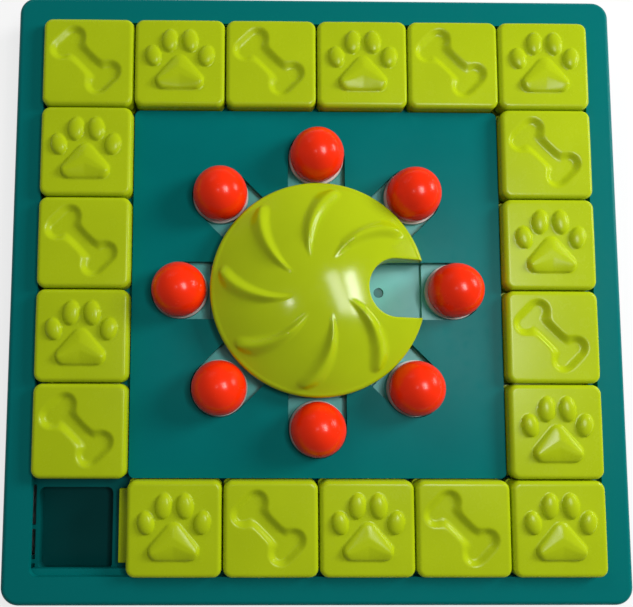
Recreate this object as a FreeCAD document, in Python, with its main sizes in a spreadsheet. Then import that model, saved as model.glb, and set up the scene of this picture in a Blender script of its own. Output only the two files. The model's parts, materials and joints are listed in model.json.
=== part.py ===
import FreeCAD, Part
import math
import os

import Sketcher

# Dog puzzle feeder board: a square track of sliding tiles around a deck with eight
# radial knobs that a notched wheel locks. Lengths are in millimetres. +X is to the
# right of the board, +Y to its far side and +Z up, with Z zero under the rubber feet.

SIZES = [
    # cells of the track and the frame around them
    ("pitch", 63.45, "distance between neighbouring cells"),
    ("track_gap", 0.35, "gap between the cells and the walls of the track"),
    ("frame_width", 19.3, "width of the frame around the track"),
    ("frame_top", 33.0, "height of the frame and of the deck"),
    ("frame_plate", 2.5, "thickness of the frame's top plate"),
    ("board_wall", 2.5, "thickness of the outer wall"),
    ("board_corner", 12.0, "corner radius of the board"),
    ("board_edge", 4.0, "radius of the outer top edge"),
    ("recess_corner", 5.0, "corner radius of the track recess"),
    ("wall_base", 1.5, "height of the outer wall's lower edge"),
    ("track_floor", 22.0, "height of the track floor"),
    ("floor_plate", 2.5, "thickness of the track floor"),
    ("inner_wall", 2.2, "thickness of the inner walls"),
    # treat pockets of the track
    ("pocket_left", 30.0, "left side of a treat pocket, from the cell's centre"),
    ("pocket_right", 20.0, "right side of a treat pocket, from the cell's centre"),
    ("pocket_near", 30.5, "near side of a treat pocket, from the cell's centre"),
    ("pocket_far", 24.5, "far side of a treat pocket, from the cell's centre"),
    ("pocket_corner", 4.0, "corner radius of a cell's treat pocket"),
    ("pocket_depth", 9.0, "depth of a cell's treat pocket"),
    ("pocket_wall", 1.8, "wall thickness of the treat pockets"),
    # ribs, feet and screws of the base
    ("rib_thick", 2.0, "thickness of a stiffening rib"),
    ("rib_base", 5.0, "height of the ribs' lower edge"),
    ("foot_inset", 20.0, "distance from the board's side to a foot's axis"),
    ("foot_radius", 8.0, "radius of a rubber foot"),
    ("foot_seat", 2.5, "depth of a foot's socket"),
    ("foot_play", 0.1, "radial play of a foot in its socket"),
    ("foot_boss_wall", 2.0, "wall around a foot's socket"),
    # core-out openings in the floor under the undercuts
    ("core_long", 27.0, "length of a cell's long opening under the frame's lip"),
    ("core_short", 20.0, "length of a cell's short opening under the frame's lip"),
    ("core_width", 6.5, "width of the openings under the frame's lip"),
    ("core_start", 1.0, "place of the long opening's start, before the cell's centre"),
    ("core_bridge", 2.7, "bridge between two floor openings"),
    ("core_corner", 7.0, "side of the opening in the free corner"),
    # tiles
    ("tile_gap", 0.85, "gap between two neighbouring tiles"),
    ("tile_top", 40.0, "height of the tiles' top face"),
    ("tile_lift", 0.3, "running clearance under a tile"),
    ("tile_corner", 6.0, "corner radius of a tile"),
    ("tile_round", 3.0, "radius of a tile's top edge"),
    ("tile_wall", 2.4, "wall thickness of a tile"),
    ("tile_crown", 5.5, "thickness of a tile's top"),
    ("tongue_reach", 7.0, "how far a tongue stands out"),
    ("tongue_length", 49.0, "length of a tongue"),
    ("tongue_thick", 3.2, "thickness of a tongue"),
    ("tongue_level", 25.0, "height of a tongue's underside"),
    ("tongue_corner", 3.0, "corner radius of a tongue"),
    ("tongue_play", 0.5, "clearance above and below a tongue"),
    ("groove_play", 1.5, "clearance at the tip of a tongue"),
    ("ridge_reach", 4.0, "how far the frame's ridges stand out"),
    ("ridge_stop", 8.0, "how far the deck's ridges end before its corners"),
    # reliefs on the tiles
    ("bone_depth", 2.8, "depth of a bone relief"),
    ("bone_reach", 19.4, "distance from the tile's centre to a bone's end"),
    ("bone_spread", 8.0, "distance from the bone's axis to a lobe"),
    ("bone_lobe", 6.4, "radius of a bone's lobe"),
    ("bone_shaft", 5.0, "half width of a bone's shaft"),
    ("paw_height", 3.0, "height of a paw relief"),
    ("toe_radius", 5.4, "radius of an inner toe"),
    ("toe_stretch", 2.8, "half distance between the ends of an inner toe"),
    ("side_toe_radius", 4.7, "radius of an outer toe"),
    ("side_toe_stretch", 2.3, "half distance between the ends of an outer toe"),
    ("toe_lean", 8.0, "turn of an inner toe away from the middle, in degrees"),
    ("side_toe_lean", 14.0, "turn of an outer toe towards the middle, in degrees"),
    ("toe_side", 7.4, "sideways place of an inner toe"),
    ("toe_rise", 14.5, "place of an inner toe above the tile's centre"),
    ("side_toe_side", 18.0, "sideways place of an outer toe"),
    ("side_toe_rise", 3.7, "place of an outer toe above the tile's centre"),
    ("pad_peak_radius", 7.0, "radius of the pad's upper corner"),
    ("pad_lobe_radius", 7.4, "radius of the pad's lower corners"),
    ("pad_lobe_side", 8.6, "sideways place of the pad's lower corners"),
    ("pad_lobe_drop", 12.4, "place of the pad's lower corners below the tile's centre"),
    ("pad_peak_drop", 3.0, "place of the pad's upper corner below the tile's centre"),
    # centre deck
    ("deck_plate", 2.5, "thickness of the deck"),
    ("deck_corner", 4.0, "corner radius of the deck"),
    ("slot_margin", 12.75, "distance from a slot's outer end to the deck's side"),
    ("slot_play", 1.3, "side clearance between a knob and its slot"),
    ("slot_lip", 3.0, "depth of the lip around the slots, below the plate"),
    ("slot_rim", 2.0, "thickness of the lip around the slots"),
    ("deck_mouth", 50.0, "radius of the deck's opening under the wheel"),
    ("deck_screw_ring", 108.0, "radius of the circle of deck screws"),
    ("deck_boss", 4.5, "radius of a deck screw boss"),
    # inner tray
    ("tray_plate", 2.2, "thickness of the inner tray"),
    ("tray_play", 0.35, "gap between the inner tray and the deck's walls"),
    ("treat_radius", 14.5, "radius of a treat pocket under a knob"),
    ("treat_depth", 9.0, "depth of a treat pocket under a knob"),
    ("dimple_radius", 3.5, "radius of a floor dimple"),
    ("dimple_ring", 44.0, "radius of the circle of floor dimples"),
    ("dimple_depth", 1.2, "depth of a floor dimple"),
    ("collar_radius", 14.0, "radius of the wheel's bearing collar"),
    ("collar_rise", 6.0, "height of the bearing collar above the tray"),
    ("collar_drop", 7.0, "depth of the bearing collar below the tray"),
    ("hole_play", 1.0, "clearance of the base's holes around the tray's pockets"),
    # knobs and shoes
    ("ball_radius", 18.5, "radius of a knob"),
    ("ball_lift", 4.0, "height of a knob's centre above the deck"),
    ("ball_seat", 5.8, "height of a knob's centre above its flat seat"),
    ("shoe_lift", 0.3, "running clearance under a shoe"),
    ("shoe_thick", 2.5, "thickness of a shoe's flange"),
    ("shoe_length", 41.2, "length of a shoe's flange along its slot"),
    ("shoe_flange", 2.7, "how far a shoe's flange reaches under the lip"),
    ("shoe_corner", 5.0, "corner radius of a shoe's flange"),
    ("shoe_collar_play", 0.6, "side clearance between a shoe's collar and its slot"),
    # wheel
    ("rim_gap", 2.5, "gap between the wheel and the locked knobs"),
    ("wheel_lift", 0.5, "gap between the wheel and the deck"),
    ("rim_height", 9.5, "height of the wheel's rim"),
    ("rim_round", 3.0, "radius of the rim's upper edge"),
    ("dome_rise", 14.0, "rise of the wheel's dome above its rim"),
    ("wheel_shell", 2.5, "wall thickness of the wheel"),
    ("notch_play", 1.2, "side clearance between a knob and the notch"),
    ("notch_inner", 55.5, "radius at which the notch's round end is centred"),
    ("vane_height", 3.0, "height of the vanes at the rim"),
    ("vane_inner", 20.0, "radius of the vanes' inner tips"),
    ("vane_outer", 64.0, "radius of the vanes' outer ends"),
    ("vane_width", 3.2, "half width of the vanes' outer ends"),
    ("vane_end", 3.36, "radius of the vanes' outer ends"),
    ("vane_back", 59.5, "radius of a vane's outer curve"),
    ("vane_front", 77.0, "radius of a vane's inner curve"),
    ("hub_radius", 9.0, "radius of the wheel's hub"),
    ("hub_play", 0.08, "running clearance of the hub in its collar"),
    ("hub_shoulder", 13.0, "radius of the hub's shoulder"),
    ("end_play", 0.3, "running clearance at the ends of the collar"),
    # fasteners
    ("screw_radius", 1.5, "radius of a screw's shank"),
    ("screw_head", 3.2, "radius of a screw's head"),
    ("head_height", 2.0, "height of a screw's head"),
    ("screw_play", 0.15, "clearance around a screw's shank"),
    ("knob_screw_bite", 14.0, "how far a knob's screw reaches into the knob"),
    ("deck_screw_bite", 5.5, "how far a deck screw reaches into its boss"),
    ("wheel_screw_bite", 16.0, "how far the wheel's screw reaches into the hub"),
    ("wheel_screw_radius", 2.0, "radius of the wheel screw's shank"),
    ("hub_bore", 2.05, "radius of the hub's screw hole"),
    ("wheel_screw_head", 4.6, "radius of the wheel screw's head"),
    ("washer_radius", 12.0, "radius of the wheel's washer"),
    ("washer_thick", 1.5, "thickness of the wheel's washer"),
]

CELLS = 6
KNOBS = 8
FEET = 4
KNOB_NAMES = ["e", "ne", "n", "nw", "w", "sw", "s", "se"]
FULL_TURN = 360.0
# Turns, in degrees, of a vane's inner tip, its outer end and the direction it ends in.
VANE_START = 20.0
VANE_END = -10.0
VANE_HEADING = -70.0
# Cutting tools and joined pieces run past the faces that they meet.
OVERSHOOT = 1.0
SAME_LEVEL = 1e-6


class Size:
    """A length with its value and the sheet expression that gives it."""

    def __init__(self, value, text):
        self.value = value
        self.text = text

    @staticmethod
    def of(other):
        if isinstance(other, Size):
            return other
        return Size(float(other), "(%.9f)" % other)

    def join(self, sign, other, value):
        return Size(value, "(%s %s %s)" % (self.text, sign, other.text))

    def __add__(self, other):
        other = Size.of(other)
        return self.join("+", other, self.value + other.value)

    def __sub__(self, other):
        other = Size.of(other)
        return self.join("-", other, self.value - other.value)

    def __mul__(self, other):
        other = Size.of(other)
        return self.join("*", other, self.value * other.value)

    def __truediv__(self, other):
        other = Size.of(other)
        return self.join("/", other, self.value / other.value)

    def __radd__(self, other):
        return Size.of(other) + self

    def __rsub__(self, other):
        return Size.of(other) - self

    def __rmul__(self, other):
        return Size.of(other) * self

    def __neg__(self):
        return Size(-self.value, "(0 - %s)" % self.text)


def make_sheet(doc):
    """Write the driving dimensions to a sheet and return them by name."""
    sheet = doc.addObject("Spreadsheet::Sheet", "sizes")
    sizes = {}
    for row, (name, value, meaning) in enumerate(SIZES, start=1):
        sheet.set("A%d" % row, str(value))
        sheet.setAlias("A%d" % row, name)
        sheet.set("B%d" % row, meaning)
        sizes[name] = Size(value, "sizes.%s" % name)
    doc.recompute()
    return sizes


def bind(thing, field, size):
    """Tie a property to the sheet, or set it when the size is a plain number."""
    size = Size.of(size)
    thing.setExpression(field, size.text)


def new_body(doc, name):
    body = doc.addObject("PartDesign::Body", name)
    body.Label = name
    return body


def origin_plane(body, role):
    for feature in body.Origin.OriginFeatures:
        if feature.Role == role:
            return feature
    raise ValueError("no origin plane " + role)


def new_sketch(body, name, level=0.0, role="XY_Plane"):
    """Add a sketch on one of the body's own origin planes, raised to a level."""
    sketch = body.newObject("Sketcher::SketchObject", name)
    sketch.AttachmentSupport = [(origin_plane(body, role), "")]
    sketch.MapMode = "FlatFace"
    bind(sketch, "AttachmentOffset.Base.z", level)
    return sketch


def pin_point(sketch, geometry, position, across, along):
    """Hold one sketch point at its distances from the origin."""
    for kind, size in (("DistanceX", Size.of(across)), ("DistanceY", Size.of(along))):
        index = sketch.addConstraint(Sketcher.Constraint(kind, -1, 1, geometry, position, size.value))
        sketch.setExpression("Constraints[%d]" % index, size.text)


def pin_radius(sketch, geometry, radius):
    radius = Size.of(radius)
    index = sketch.addConstraint(Sketcher.Constraint("Radius", geometry, radius.value))
    sketch.setExpression("Constraints[%d]" % index, radius.text)


def circle(sketch, across, along, radius):
    across, along, radius = Size.of(across), Size.of(along), Size.of(radius)
    centre = FreeCAD.Vector(across.value, along.value, 0)
    index = sketch.addGeometry(Part.Circle(centre, FreeCAD.Vector(0, 0, 1), radius.value))
    pin_radius(sketch, index, radius)
    pin_point(sketch, index, 3, across, along)


def arc_between(start, end, radius):
    """The arc of less than half a turn from start to end; a negative radius bends it clockwise."""
    chord = end - start
    half = chord.Length / 2
    size = abs(radius)
    rise = math.sqrt(max(size * size - half * half, 0.0))
    side = FreeCAD.Vector(-chord.y, chord.x, 0).normalize()
    centre = start + chord * 0.5 + side * (rise if radius > 0 else -rise)
    first, last = (start, end) if radius > 0 else (end, start)
    begin = math.atan2(first.y - centre.y, first.x - centre.x)
    finish = math.atan2(last.y - centre.y, last.x - centre.x)
    if finish < begin:
        finish += 2 * math.pi
    ring = Part.Circle(centre, FreeCAD.Vector(0, 0, 1), size)
    return Part.ArcOfCircle(ring, begin, finish)


def outline(sketch, corners):
    """Draw a closed loop of (across, along) corners; a third number bends the side that follows."""
    first = sketch.GeometryCount
    count = len(corners)
    points = [FreeCAD.Vector(Size.of(c[0]).value, Size.of(c[1]).value, 0) for c in corners]
    ends = []
    for index, corner in enumerate(corners):
        start, end = points[index], points[(index + 1) % count]
        if len(corner) == 2:
            sketch.addGeometry(Part.LineSegment(start, end))
            ends.append((1, 2))
            continue
        radius = Size.of(corner[2])
        sketch.addGeometry(arc_between(start, end, radius.value))
        ends.append((1, 2) if radius.value > 0 else (2, 1))
        pin_radius(sketch, first + index, radius if radius.value > 0 else -radius)
    for index, corner in enumerate(corners):
        before = (index - 1) % count
        sketch.addConstraint(Sketcher.Constraint(
            "Coincident", first + before, ends[before][1], first + index, ends[index][0]))
        pin_point(sketch, first + index, ends[index][0], corner[0], corner[1])


def rounded_box(sketch, left, right, low, high, radius):
    """Draw a rectangle with rounded corners."""
    left, right, low, high = Size.of(left), Size.of(right), Size.of(low), Size.of(high)
    outline(sketch, [
        (left + radius, low), (right - radius, low, radius),
        (right, low + radius), (right, high - radius, radius),
        (right - radius, high), (left + radius, high, radius),
        (left, high - radius), (left, low + radius, radius)])


def box(sketch, left, right, low, high):
    outline(sketch, [(left, low), (right, low), (right, high), (left, high)])


def pebble(sketch, circles):
    """Draw the line around circles (across, along, radius) listed counter-clockwise."""
    count = len(circles)
    tangents = []
    for index in range(count):
        ax, ay, ar = [Size.of(v).value for v in circles[index]]
        bx, by, br = [Size.of(v).value for v in circles[(index + 1) % count]]
        heading = math.atan2(by - ay, bx - ax)
        lean = math.asin((ar - br) / math.hypot(bx - ax, by - ay))
        tangents.append(heading - math.pi / 2 + lean)
    corners = []
    for index, (across, along, radius) in enumerate(circles):
        enter, leave = tangents[index - 1], tangents[index]
        while leave < enter:
            leave += 2 * math.pi
        middle = (enter + leave) / 2
        for angle in (enter, middle):
            corners.append((across + radius * math.cos(angle), along + radius * math.sin(angle), radius))
        corners.append((across + radius * math.cos(leave), along + radius * math.sin(leave)))
    outline(sketch, corners)


def pad(body, sketch, height):
    feature = body.newObject("PartDesign::Pad", sketch.Name + "_pad")
    feature.Profile = sketch
    feature.Refine = False
    bind(feature, "Length", height)
    return feature


def pocket(body, sketch, depth):
    """Cut from the sketch downwards."""
    feature = body.newObject("PartDesign::Pocket", sketch.Name + "_cut")
    feature.Profile = sketch
    feature.Refine = False
    bind(feature, "Length", depth)
    return feature


def raise_slab(body, name, low, high, draw):
    """Add what the draw function sketches, between two levels."""
    sketch = new_sketch(body, name, low)
    draw(sketch)
    return pad(body, sketch, high - low)


def round_top_edge(body, name, block, level, radius):
    """Round the edges of the block's upper face."""
    body.Document.recompute()
    top = [index for index, face in enumerate(block.Shape.Faces, start=1)
           if abs(face.CenterOfMass.z - level.value) < SAME_LEVEL]
    edge = body.newObject("PartDesign::Fillet", name)
    edge.Base = (block, ["Face%d" % top[0]])
    bind(edge, "Radius", radius)


def sink_slab(body, name, low, high, draw):
    """Remove what the draw function sketches, between two levels."""
    sketch = new_sketch(body, name, high)
    draw(sketch)
    return pocket(body, sketch, high - low)


def turn_profile(body, name, corners):
    """Add a full revolution of a profile given as (radius, height) corners."""
    sketch = new_sketch(body, name, 0.0, "XZ_Plane")
    outline(sketch, corners)
    feature = body.newObject("PartDesign::Revolution", name + "_turn")
    feature.Profile = sketch
    feature.ReferenceAxis = (sketch, ["V_Axis"])
    feature.Angle = FULL_TURN
    return feature


def ring_pattern(body, name, originals, count):
    """Repeat features around the body's Z axis."""
    feature = body.newObject("PartDesign::PolarPattern", name)
    feature.Originals = originals
    feature.Axis = (originals[0].Profile[0], ["N_Axis"])
    feature.Angle = FULL_TURN
    feature.Occurrences = count
    body.Tip = feature
    return feature


def row_pattern(body, name, originals, axis, length, count):
    """Repeat features along the first sketch's H_Axis or V_Axis."""
    feature = body.newObject("PartDesign::LinearPattern", name)
    feature.Originals = originals
    feature.Direction = (originals[0].Profile[0], [axis])
    bind(feature, "Length", length)
    feature.Occurrences = count
    body.Tip = feature
    return feature


def derive(s):
    """Work out the sizes that several pieces share."""
    s["recess_half"] = s["pitch"] * 3 + s["track_gap"]
    s["board_half"] = s["recess_half"] + s["frame_width"]
    s["deck_half"] = s["pitch"] * 2 - s["track_gap"]
    s["tongue_roof"] = s["tongue_level"] + s["tongue_thick"]
    s["groove_low"] = s["tongue_level"] - s["tongue_play"]
    s["groove_high"] = s["tongue_roof"] + s["tongue_play"]
    s["groove_depth"] = s["tongue_reach"] + s["groove_play"]
    s["tile_half"] = (s["pitch"] - s["tile_gap"]) / 2
    s["tile_low"] = s["track_floor"] + s["tile_lift"]
    s["plate_low"] = s["track_floor"] - s["floor_plate"]
    s["slot_half"] = s["ball_radius"] + s["slot_play"]
    s["knob_ring"] = s["deck_half"] - s["slot_margin"] - s["slot_half"]
    s["wheel_radius"] = s["knob_ring"] - s["ball_radius"] - s["rim_gap"]
    s["deck_low"] = s["frame_top"] - s["deck_plate"]
    s["lip_low"] = s["deck_low"] - s["slot_lip"]
    s["tray_top"] = s["track_floor"] + s["tray_plate"]
    s["skirt_half"] = s["deck_half"] - s["groove_depth"] - s["inner_wall"]
    s["tray_radius"] = s["skirt_half"] - s["tray_play"]
    s["treat_outer"] = s["treat_radius"] + s["pocket_wall"]
    s["shoe_low"] = s["tray_top"] + s["shoe_lift"]
    s["shoe_top"] = s["shoe_low"] + s["shoe_thick"]
    s["ball_centre"] = s["frame_top"] + s["ball_lift"]
    s["ball_low"] = s["ball_centre"] - s["ball_seat"]
    s["shoe_half"] = s["slot_half"] + s["shoe_flange"]
    s["rim_low"] = s["frame_top"] + s["wheel_lift"]
    s["rim_high"] = s["rim_low"] + s["rim_height"]
    s["dome_top"] = s["rim_high"] + s["dome_rise"]
    s["collar_top"] = s["tray_top"] + s["collar_rise"]
    s["collar_low"] = s["track_floor"] - s["collar_drop"]
    s["hub_low"] = s["collar_low"] - s["end_play"]
    s["foot_place"] = s["board_half"] - s["foot_inset"]
    s["screw_bore"] = s["screw_radius"] + s["screw_play"]


def cell_place(s, index):
    """Distance of a row or column of cells from the board's centre."""
    return s["pitch"] * (index - (CELLS - 1) / 2)


def build_shell(body, s):
    """Outer wall, frame and floor of the base tray."""
    half, wall = s["board_half"], s["board_wall"]
    inside = half - wall
    block = raise_slab(body, "board_block", s["wall_base"], s["frame_top"],
                       lambda k: rounded_box(k, -half, half, -half, half, s["board_corner"]))
    round_top_edge(body, "board_edge", block, s["frame_top"], s["board_edge"])
    sink_slab(body, "underside", s["wall_base"], s["plate_low"],
              lambda k: rounded_box(k, -inside, inside, -inside, inside, s["board_corner"] - wall))
    back = s["recess_half"] + s["groove_depth"] + s["inner_wall"]
    front = s["recess_half"] + s["inner_wall"]

    def frame_hollow(sketch):
        rounded_box(sketch, -inside, inside, -inside, inside, s["board_corner"] - wall)
        box(sketch, -back, front, -front, back)

    sink_slab(body, "frame_hollow", s["plate_low"], s["frame_top"] - s["frame_plate"], frame_hollow)
    edge_half = s["recess_half"]
    sink_slab(body, "track_recess", s["track_floor"], s["frame_top"],
              lambda k: rounded_box(k, -edge_half, edge_half, -edge_half, edge_half, s["recess_corner"]))


def build_tongue_ways(body, s):
    """Undercuts on the left and far sides, ridges on the right and near sides."""
    half, depth, reach = s["recess_half"], s["groove_depth"], s["ridge_reach"]
    inner = half - s["recess_corner"]
    far = half + depth

    def undercut(sketch):
        outline(sketch, [
            (-far, -half), (-inner, -half), (-inner, inner), (half, inner), (half, far), (-far, far)])

    sink_slab(body, "undercut", s["track_floor"], s["groove_high"], undercut)
    anchor = half + s["inner_wall"] / 2

    def ridge(sketch):
        tip = half - reach
        outline(sketch, [
            (-anchor, -anchor), (anchor, -anchor), (anchor, half), (tip, half), (tip, -tip),
            (-half, -tip), (-half, -half), (-anchor, -half)])

    raise_slab(body, "ridge", s["tongue_level"], s["tongue_roof"], ridge)


def build_core_outs(body, s):
    """Openings in the floor under the frame's lip: two for each cell, and one in the free corner."""
    near = s["recess_half"]
    far = near + s["core_width"]
    low, high = s["plate_low"] - OVERSHOOT, s["track_floor"]
    first = cell_place(s, 0)
    span = s["pitch"] * (CELLS - 1)
    start = first - s["core_start"]
    below = start - s["core_bridge"]
    for name, low_end, high_end in (("long", start, start + s["core_long"]),
                                    ("short", below - s["core_short"], below)):
        left = sink_slab(body, "core_left_" + name, low, high,
                         lambda k: box(k, -far, -near, low_end, high_end))
        row_pattern(body, "core_left_%s_row" % name, [left], "V_Axis", span, CELLS)
        top = sink_slab(body, "core_top_" + name, low, high,
                        lambda k: box(k, low_end, high_end, near, far))
        row_pattern(body, "core_top_%s_row" % name, [top], "H_Axis", span, CELLS)
    end = below - s["core_short"] - s["core_bridge"]
    sink_slab(body, "core_corner_opening", low, high,
              lambda k: box(k, -far, -near, end - s["core_corner"], end))


def pocket_outline(sketch, s, across, along, margin):
    """Draw one cell's treat pocket, widened by a margin."""
    rounded_box(sketch, across - s["pocket_left"] - margin, across + s["pocket_right"] + margin,
                along - s["pocket_near"] - margin, along + s["pocket_far"] + margin,
                s["pocket_corner"] + margin)


def build_cell_pockets(body, s):
    """A treat pocket under each of the twenty cells."""
    wall = s["pocket_wall"]
    bottom = s["track_floor"] - s["pocket_depth"]
    low, high = cell_place(s, 0), cell_place(s, CELLS - 1)
    second = cell_place(s, 1)
    rows = [("near", low, low, "H_Axis", CELLS), ("far", low, high, "H_Axis", CELLS),
            ("left", low, second, "V_Axis", CELLS - 2), ("right", high, second, "V_Axis", CELLS - 2)]
    for name, across, along, axis, count in rows:
        cup = raise_slab(body, "cup_" + name, bottom - wall, s["track_floor"],
                         lambda k: pocket_outline(k, s, across, along, wall))
        well = sink_slab(body, "well_" + name, bottom, s["track_floor"],
                         lambda k: pocket_outline(k, s, across, along, 0.0))
        row_pattern(body, "pockets_" + name, [cup, well], axis, s["pitch"] * (count - 1), count)


def build_base_supports(body, s):
    """Ribs, foot bosses, and holes for the inner tray and the deck's screws."""
    reach = s["board_half"] - s["board_wall"] / 2
    lane, half = s["pitch"] * 2, s["rib_thick"] / 2
    inside_plate = s["track_floor"] - s["floor_plate"] / 2
    for name, place in (("low", -lane), ("high", lane)):
        raise_slab(body, "rib_x_" + name, s["rib_base"], inside_plate,
                   lambda k: box(k, place - half, place + half, -reach, reach))
        raise_slab(body, "rib_y_" + name, s["rib_base"], inside_plate,
                   lambda k: box(k, -reach, reach, place - half, place + half))
    socket = s["foot_radius"] + s["foot_play"]
    seat_top = s["wall_base"] + s["foot_seat"]
    boss = raise_slab(body, "foot_boss", s["wall_base"], inside_plate,
                      lambda k: circle(k, s["foot_place"], s["foot_place"], socket + s["foot_boss_wall"]))
    hole = sink_slab(body, "foot_socket", s["wall_base"], seat_top,
                     lambda k: circle(k, s["foot_place"], s["foot_place"], socket))
    ring_pattern(body, "foot_bosses", [boss, hole], FEET)
    low, high = s["plate_low"] - OVERSHOOT, s["track_floor"]
    clear = s["treat_outer"] + s["hole_play"]
    treat = sink_slab(body, "treat_hole", low, high, lambda k: circle(k, s["knob_ring"], 0, clear))
    ring_pattern(body, "treat_holes", [treat], KNOBS)
    sink_slab(body, "collar_hole", low, high,
              lambda k: circle(k, 0, 0, s["collar_radius"] + s["hole_play"]))
    screw_ring(body, s, "base_screw_hole", low, high)


def screw_ring(body, s, name, low, high):
    """A hole for each deck screw, halfway between two slots."""
    across, along = screw_place(s)
    hole = sink_slab(body, name, low, high, lambda k: circle(k, across, along, s["screw_bore"]))
    ring_pattern(body, name + "_ring", [hole], KNOBS)


def screw_place(s):
    turn = math.pi / KNOBS
    return s["deck_screw_ring"] * math.cos(turn), s["deck_screw_ring"] * math.sin(turn)


def build_base(doc, s):
    body = new_body(doc, "base_tray")
    build_shell(body, s)
    build_tongue_ways(body, s)
    build_base_supports(body, s)
    build_cell_pockets(body, s)
    build_core_outs(body, s)
    return body


def slot_arm(sketch, s, margin):
    """Draw one radial slot, widened by a margin, from the deck's opening to its round end."""
    half, end = s["slot_half"] + margin, s["knob_ring"]
    start = s["deck_mouth"] / 2
    outline(sketch, [(start, -half), (end, -half, half), (end + half, 0, half), (end, half), (start, half)])


def build_deck(doc, s):
    """Deck with its walls, tongue ways, radial slots and screw bosses."""
    body = new_body(doc, "center_deck")
    half, depth, wall = s["deck_half"], s["groove_depth"], s["inner_wall"]
    raise_slab(body, "deck_block", s["track_floor"], s["frame_top"],
               lambda k: rounded_box(k, -half, half, -half, half, s["deck_corner"]))
    inner = s["skirt_half"]
    sink_slab(body, "deck_hollow", s["track_floor"], s["deck_low"],
              lambda k: rounded_box(k, wall - half, inner, -inner, half - wall, s["deck_corner"] - wall))
    shelf = half - depth

    def undercut(sketch):
        outer = half + depth
        outline(sketch, [
            (-outer, -outer), (outer, -outer), (outer, outer), (shelf, outer),
            (shelf, -shelf), (-outer, -shelf)])

    sink_slab(body, "deck_undercut", s["track_floor"], s["groove_high"], undercut)
    tip, root, stop = half + s["tongue_reach"], half - wall / 2, half - s["ridge_stop"]
    for name, draw in (("left", lambda k: box(k, -tip, -root, -stop, stop)),
                       ("top", lambda k: box(k, -stop, stop, root, tip))):
        raise_slab(body, "deck_ridge_" + name, s["tongue_level"], s["tongue_roof"], draw)
    rim = raise_slab(body, "slot_rim", s["lip_low"], s["deck_low"], lambda k: slot_arm(k, s, s["slot_rim"]))
    ring_pattern(body, "slot_rims", [rim], KNOBS)
    cut_low = s["lip_low"] - OVERSHOOT
    slot = sink_slab(body, "slot", cut_low, s["frame_top"], lambda k: slot_arm(k, s, 0.0))
    ring_pattern(body, "slots", [slot], KNOBS)
    sink_slab(body, "deck_mouth", cut_low, s["frame_top"], lambda k: circle(k, 0, 0, s["deck_mouth"]))
    across, along = screw_place(s)
    boss = raise_slab(body, "deck_boss", s["tray_top"], s["deck_low"],
                      lambda k: circle(k, across, along, s["deck_boss"]))
    ring_pattern(body, "deck_bosses", [boss], KNOBS)
    hole_top = s["tray_top"] + s["deck_screw_bite"] + s["screw_play"]
    screw_ring(body, s, "deck_screw_hole", s["tray_top"], hole_top)
    return body


def build_tray(doc, s):
    """Pale plate under the slots, with a treat pocket under each knob and the wheel's bearing."""
    body = new_body(doc, "inner_tray")
    raise_slab(body, "tray_plate", s["track_floor"], s["tray_top"],
               lambda k: circle(k, 0, 0, s["tray_radius"]))
    bottom = s["tray_top"] - s["treat_depth"]
    cup = raise_slab(body, "treat_cup", bottom - s["pocket_wall"], s["tray_top"],
                     lambda k: circle(k, s["knob_ring"], 0, s["treat_outer"]))
    well = sink_slab(body, "treat_well", bottom, s["tray_top"],
                     lambda k: circle(k, s["knob_ring"], 0, s["treat_radius"]))
    ring_pattern(body, "treat_pockets", [cup, well], KNOBS)
    dimple = sink_slab(body, "dimple", s["tray_top"] - s["dimple_depth"], s["tray_top"],
                       lambda k: circle(k, s["dimple_ring"], 0, s["dimple_radius"]))
    ring_pattern(body, "dimples", [dimple], KNOBS)
    raise_slab(body, "collar", s["collar_low"], s["collar_top"],
               lambda k: circle(k, 0, 0, s["collar_radius"]))
    sink_slab(body, "bearing", s["collar_low"], s["collar_top"],
              lambda k: circle(k, 0, 0, s["hub_radius"] + s["hub_play"]))
    screw_ring(body, s, "tray_screw_hole", s["track_floor"], s["tray_top"])
    return body


def profile_sketch(doc, name, corners):
    """A standing sketch of a (radius, height) profile, for a turned solid."""
    sketch = doc.addObject("Sketcher::SketchObject", name)
    sketch.Placement = FreeCAD.Placement(FreeCAD.Vector(), FreeCAD.Rotation(FreeCAD.Vector(1, 0, 0), 90))
    outline(sketch, corners)
    return sketch


def turned_solid(doc, name, corners):
    solid = doc.addObject("Part::Revolution", name)
    solid.Source = profile_sketch(doc, name + "_profile", corners)
    solid.Axis = FreeCAD.Vector(0, 0, 1)
    solid.Base = FreeCAD.Vector(0, 0, 0)
    solid.Angle = FULL_TURN
    solid.Solid = True
    return solid


def standing_prism(doc, name, low, high, draw, turn=0.0):
    """An upright prism between two levels, turned about the Z axis."""
    sketch = doc.addObject("Sketcher::SketchObject", name + "_outline")
    draw(sketch)
    sketch.Placement = FreeCAD.Placement(FreeCAD.Vector(), FreeCAD.Rotation(FreeCAD.Vector(0, 0, 1), turn))
    bind(sketch, "Placement.Base.z", low)
    solid = doc.addObject("Part::Extrusion", name)
    solid.Base = sketch
    solid.DirMode = "Custom"
    solid.Dir = FreeCAD.Vector(0, 0, 1)
    bind(solid, "LengthFwd", high - low)
    solid.Solid = True
    return solid


def combine(doc, kind, name, shapes):
    result = doc.addObject("Part::Multi" + kind, name)
    result.Shapes = shapes
    return result


def subtract(doc, name, base, tool):
    result = doc.addObject("Part::Cut", name)
    result.Base = base
    result.Tool = tool
    return result


def dome_profile(s, inset, lift):
    """Profile of the wheel's dome, moved inwards by an inset or raised by a lift at the rim."""
    edge, base = s["wheel_radius"] - inset, s["rim_low"]
    shoulder, apex = s["rim_high"] - inset + lift, s["dome_top"] - inset
    bend = s["rim_round"]
    run, rise = edge - bend, apex - shoulder
    curve = (run * run + rise * rise) / (rise * 2)
    return [(0, base), (edge, base), (edge, shoulder - bend, bend),
            (edge - bend, shoulder, curve), (0, apex)]


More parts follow.
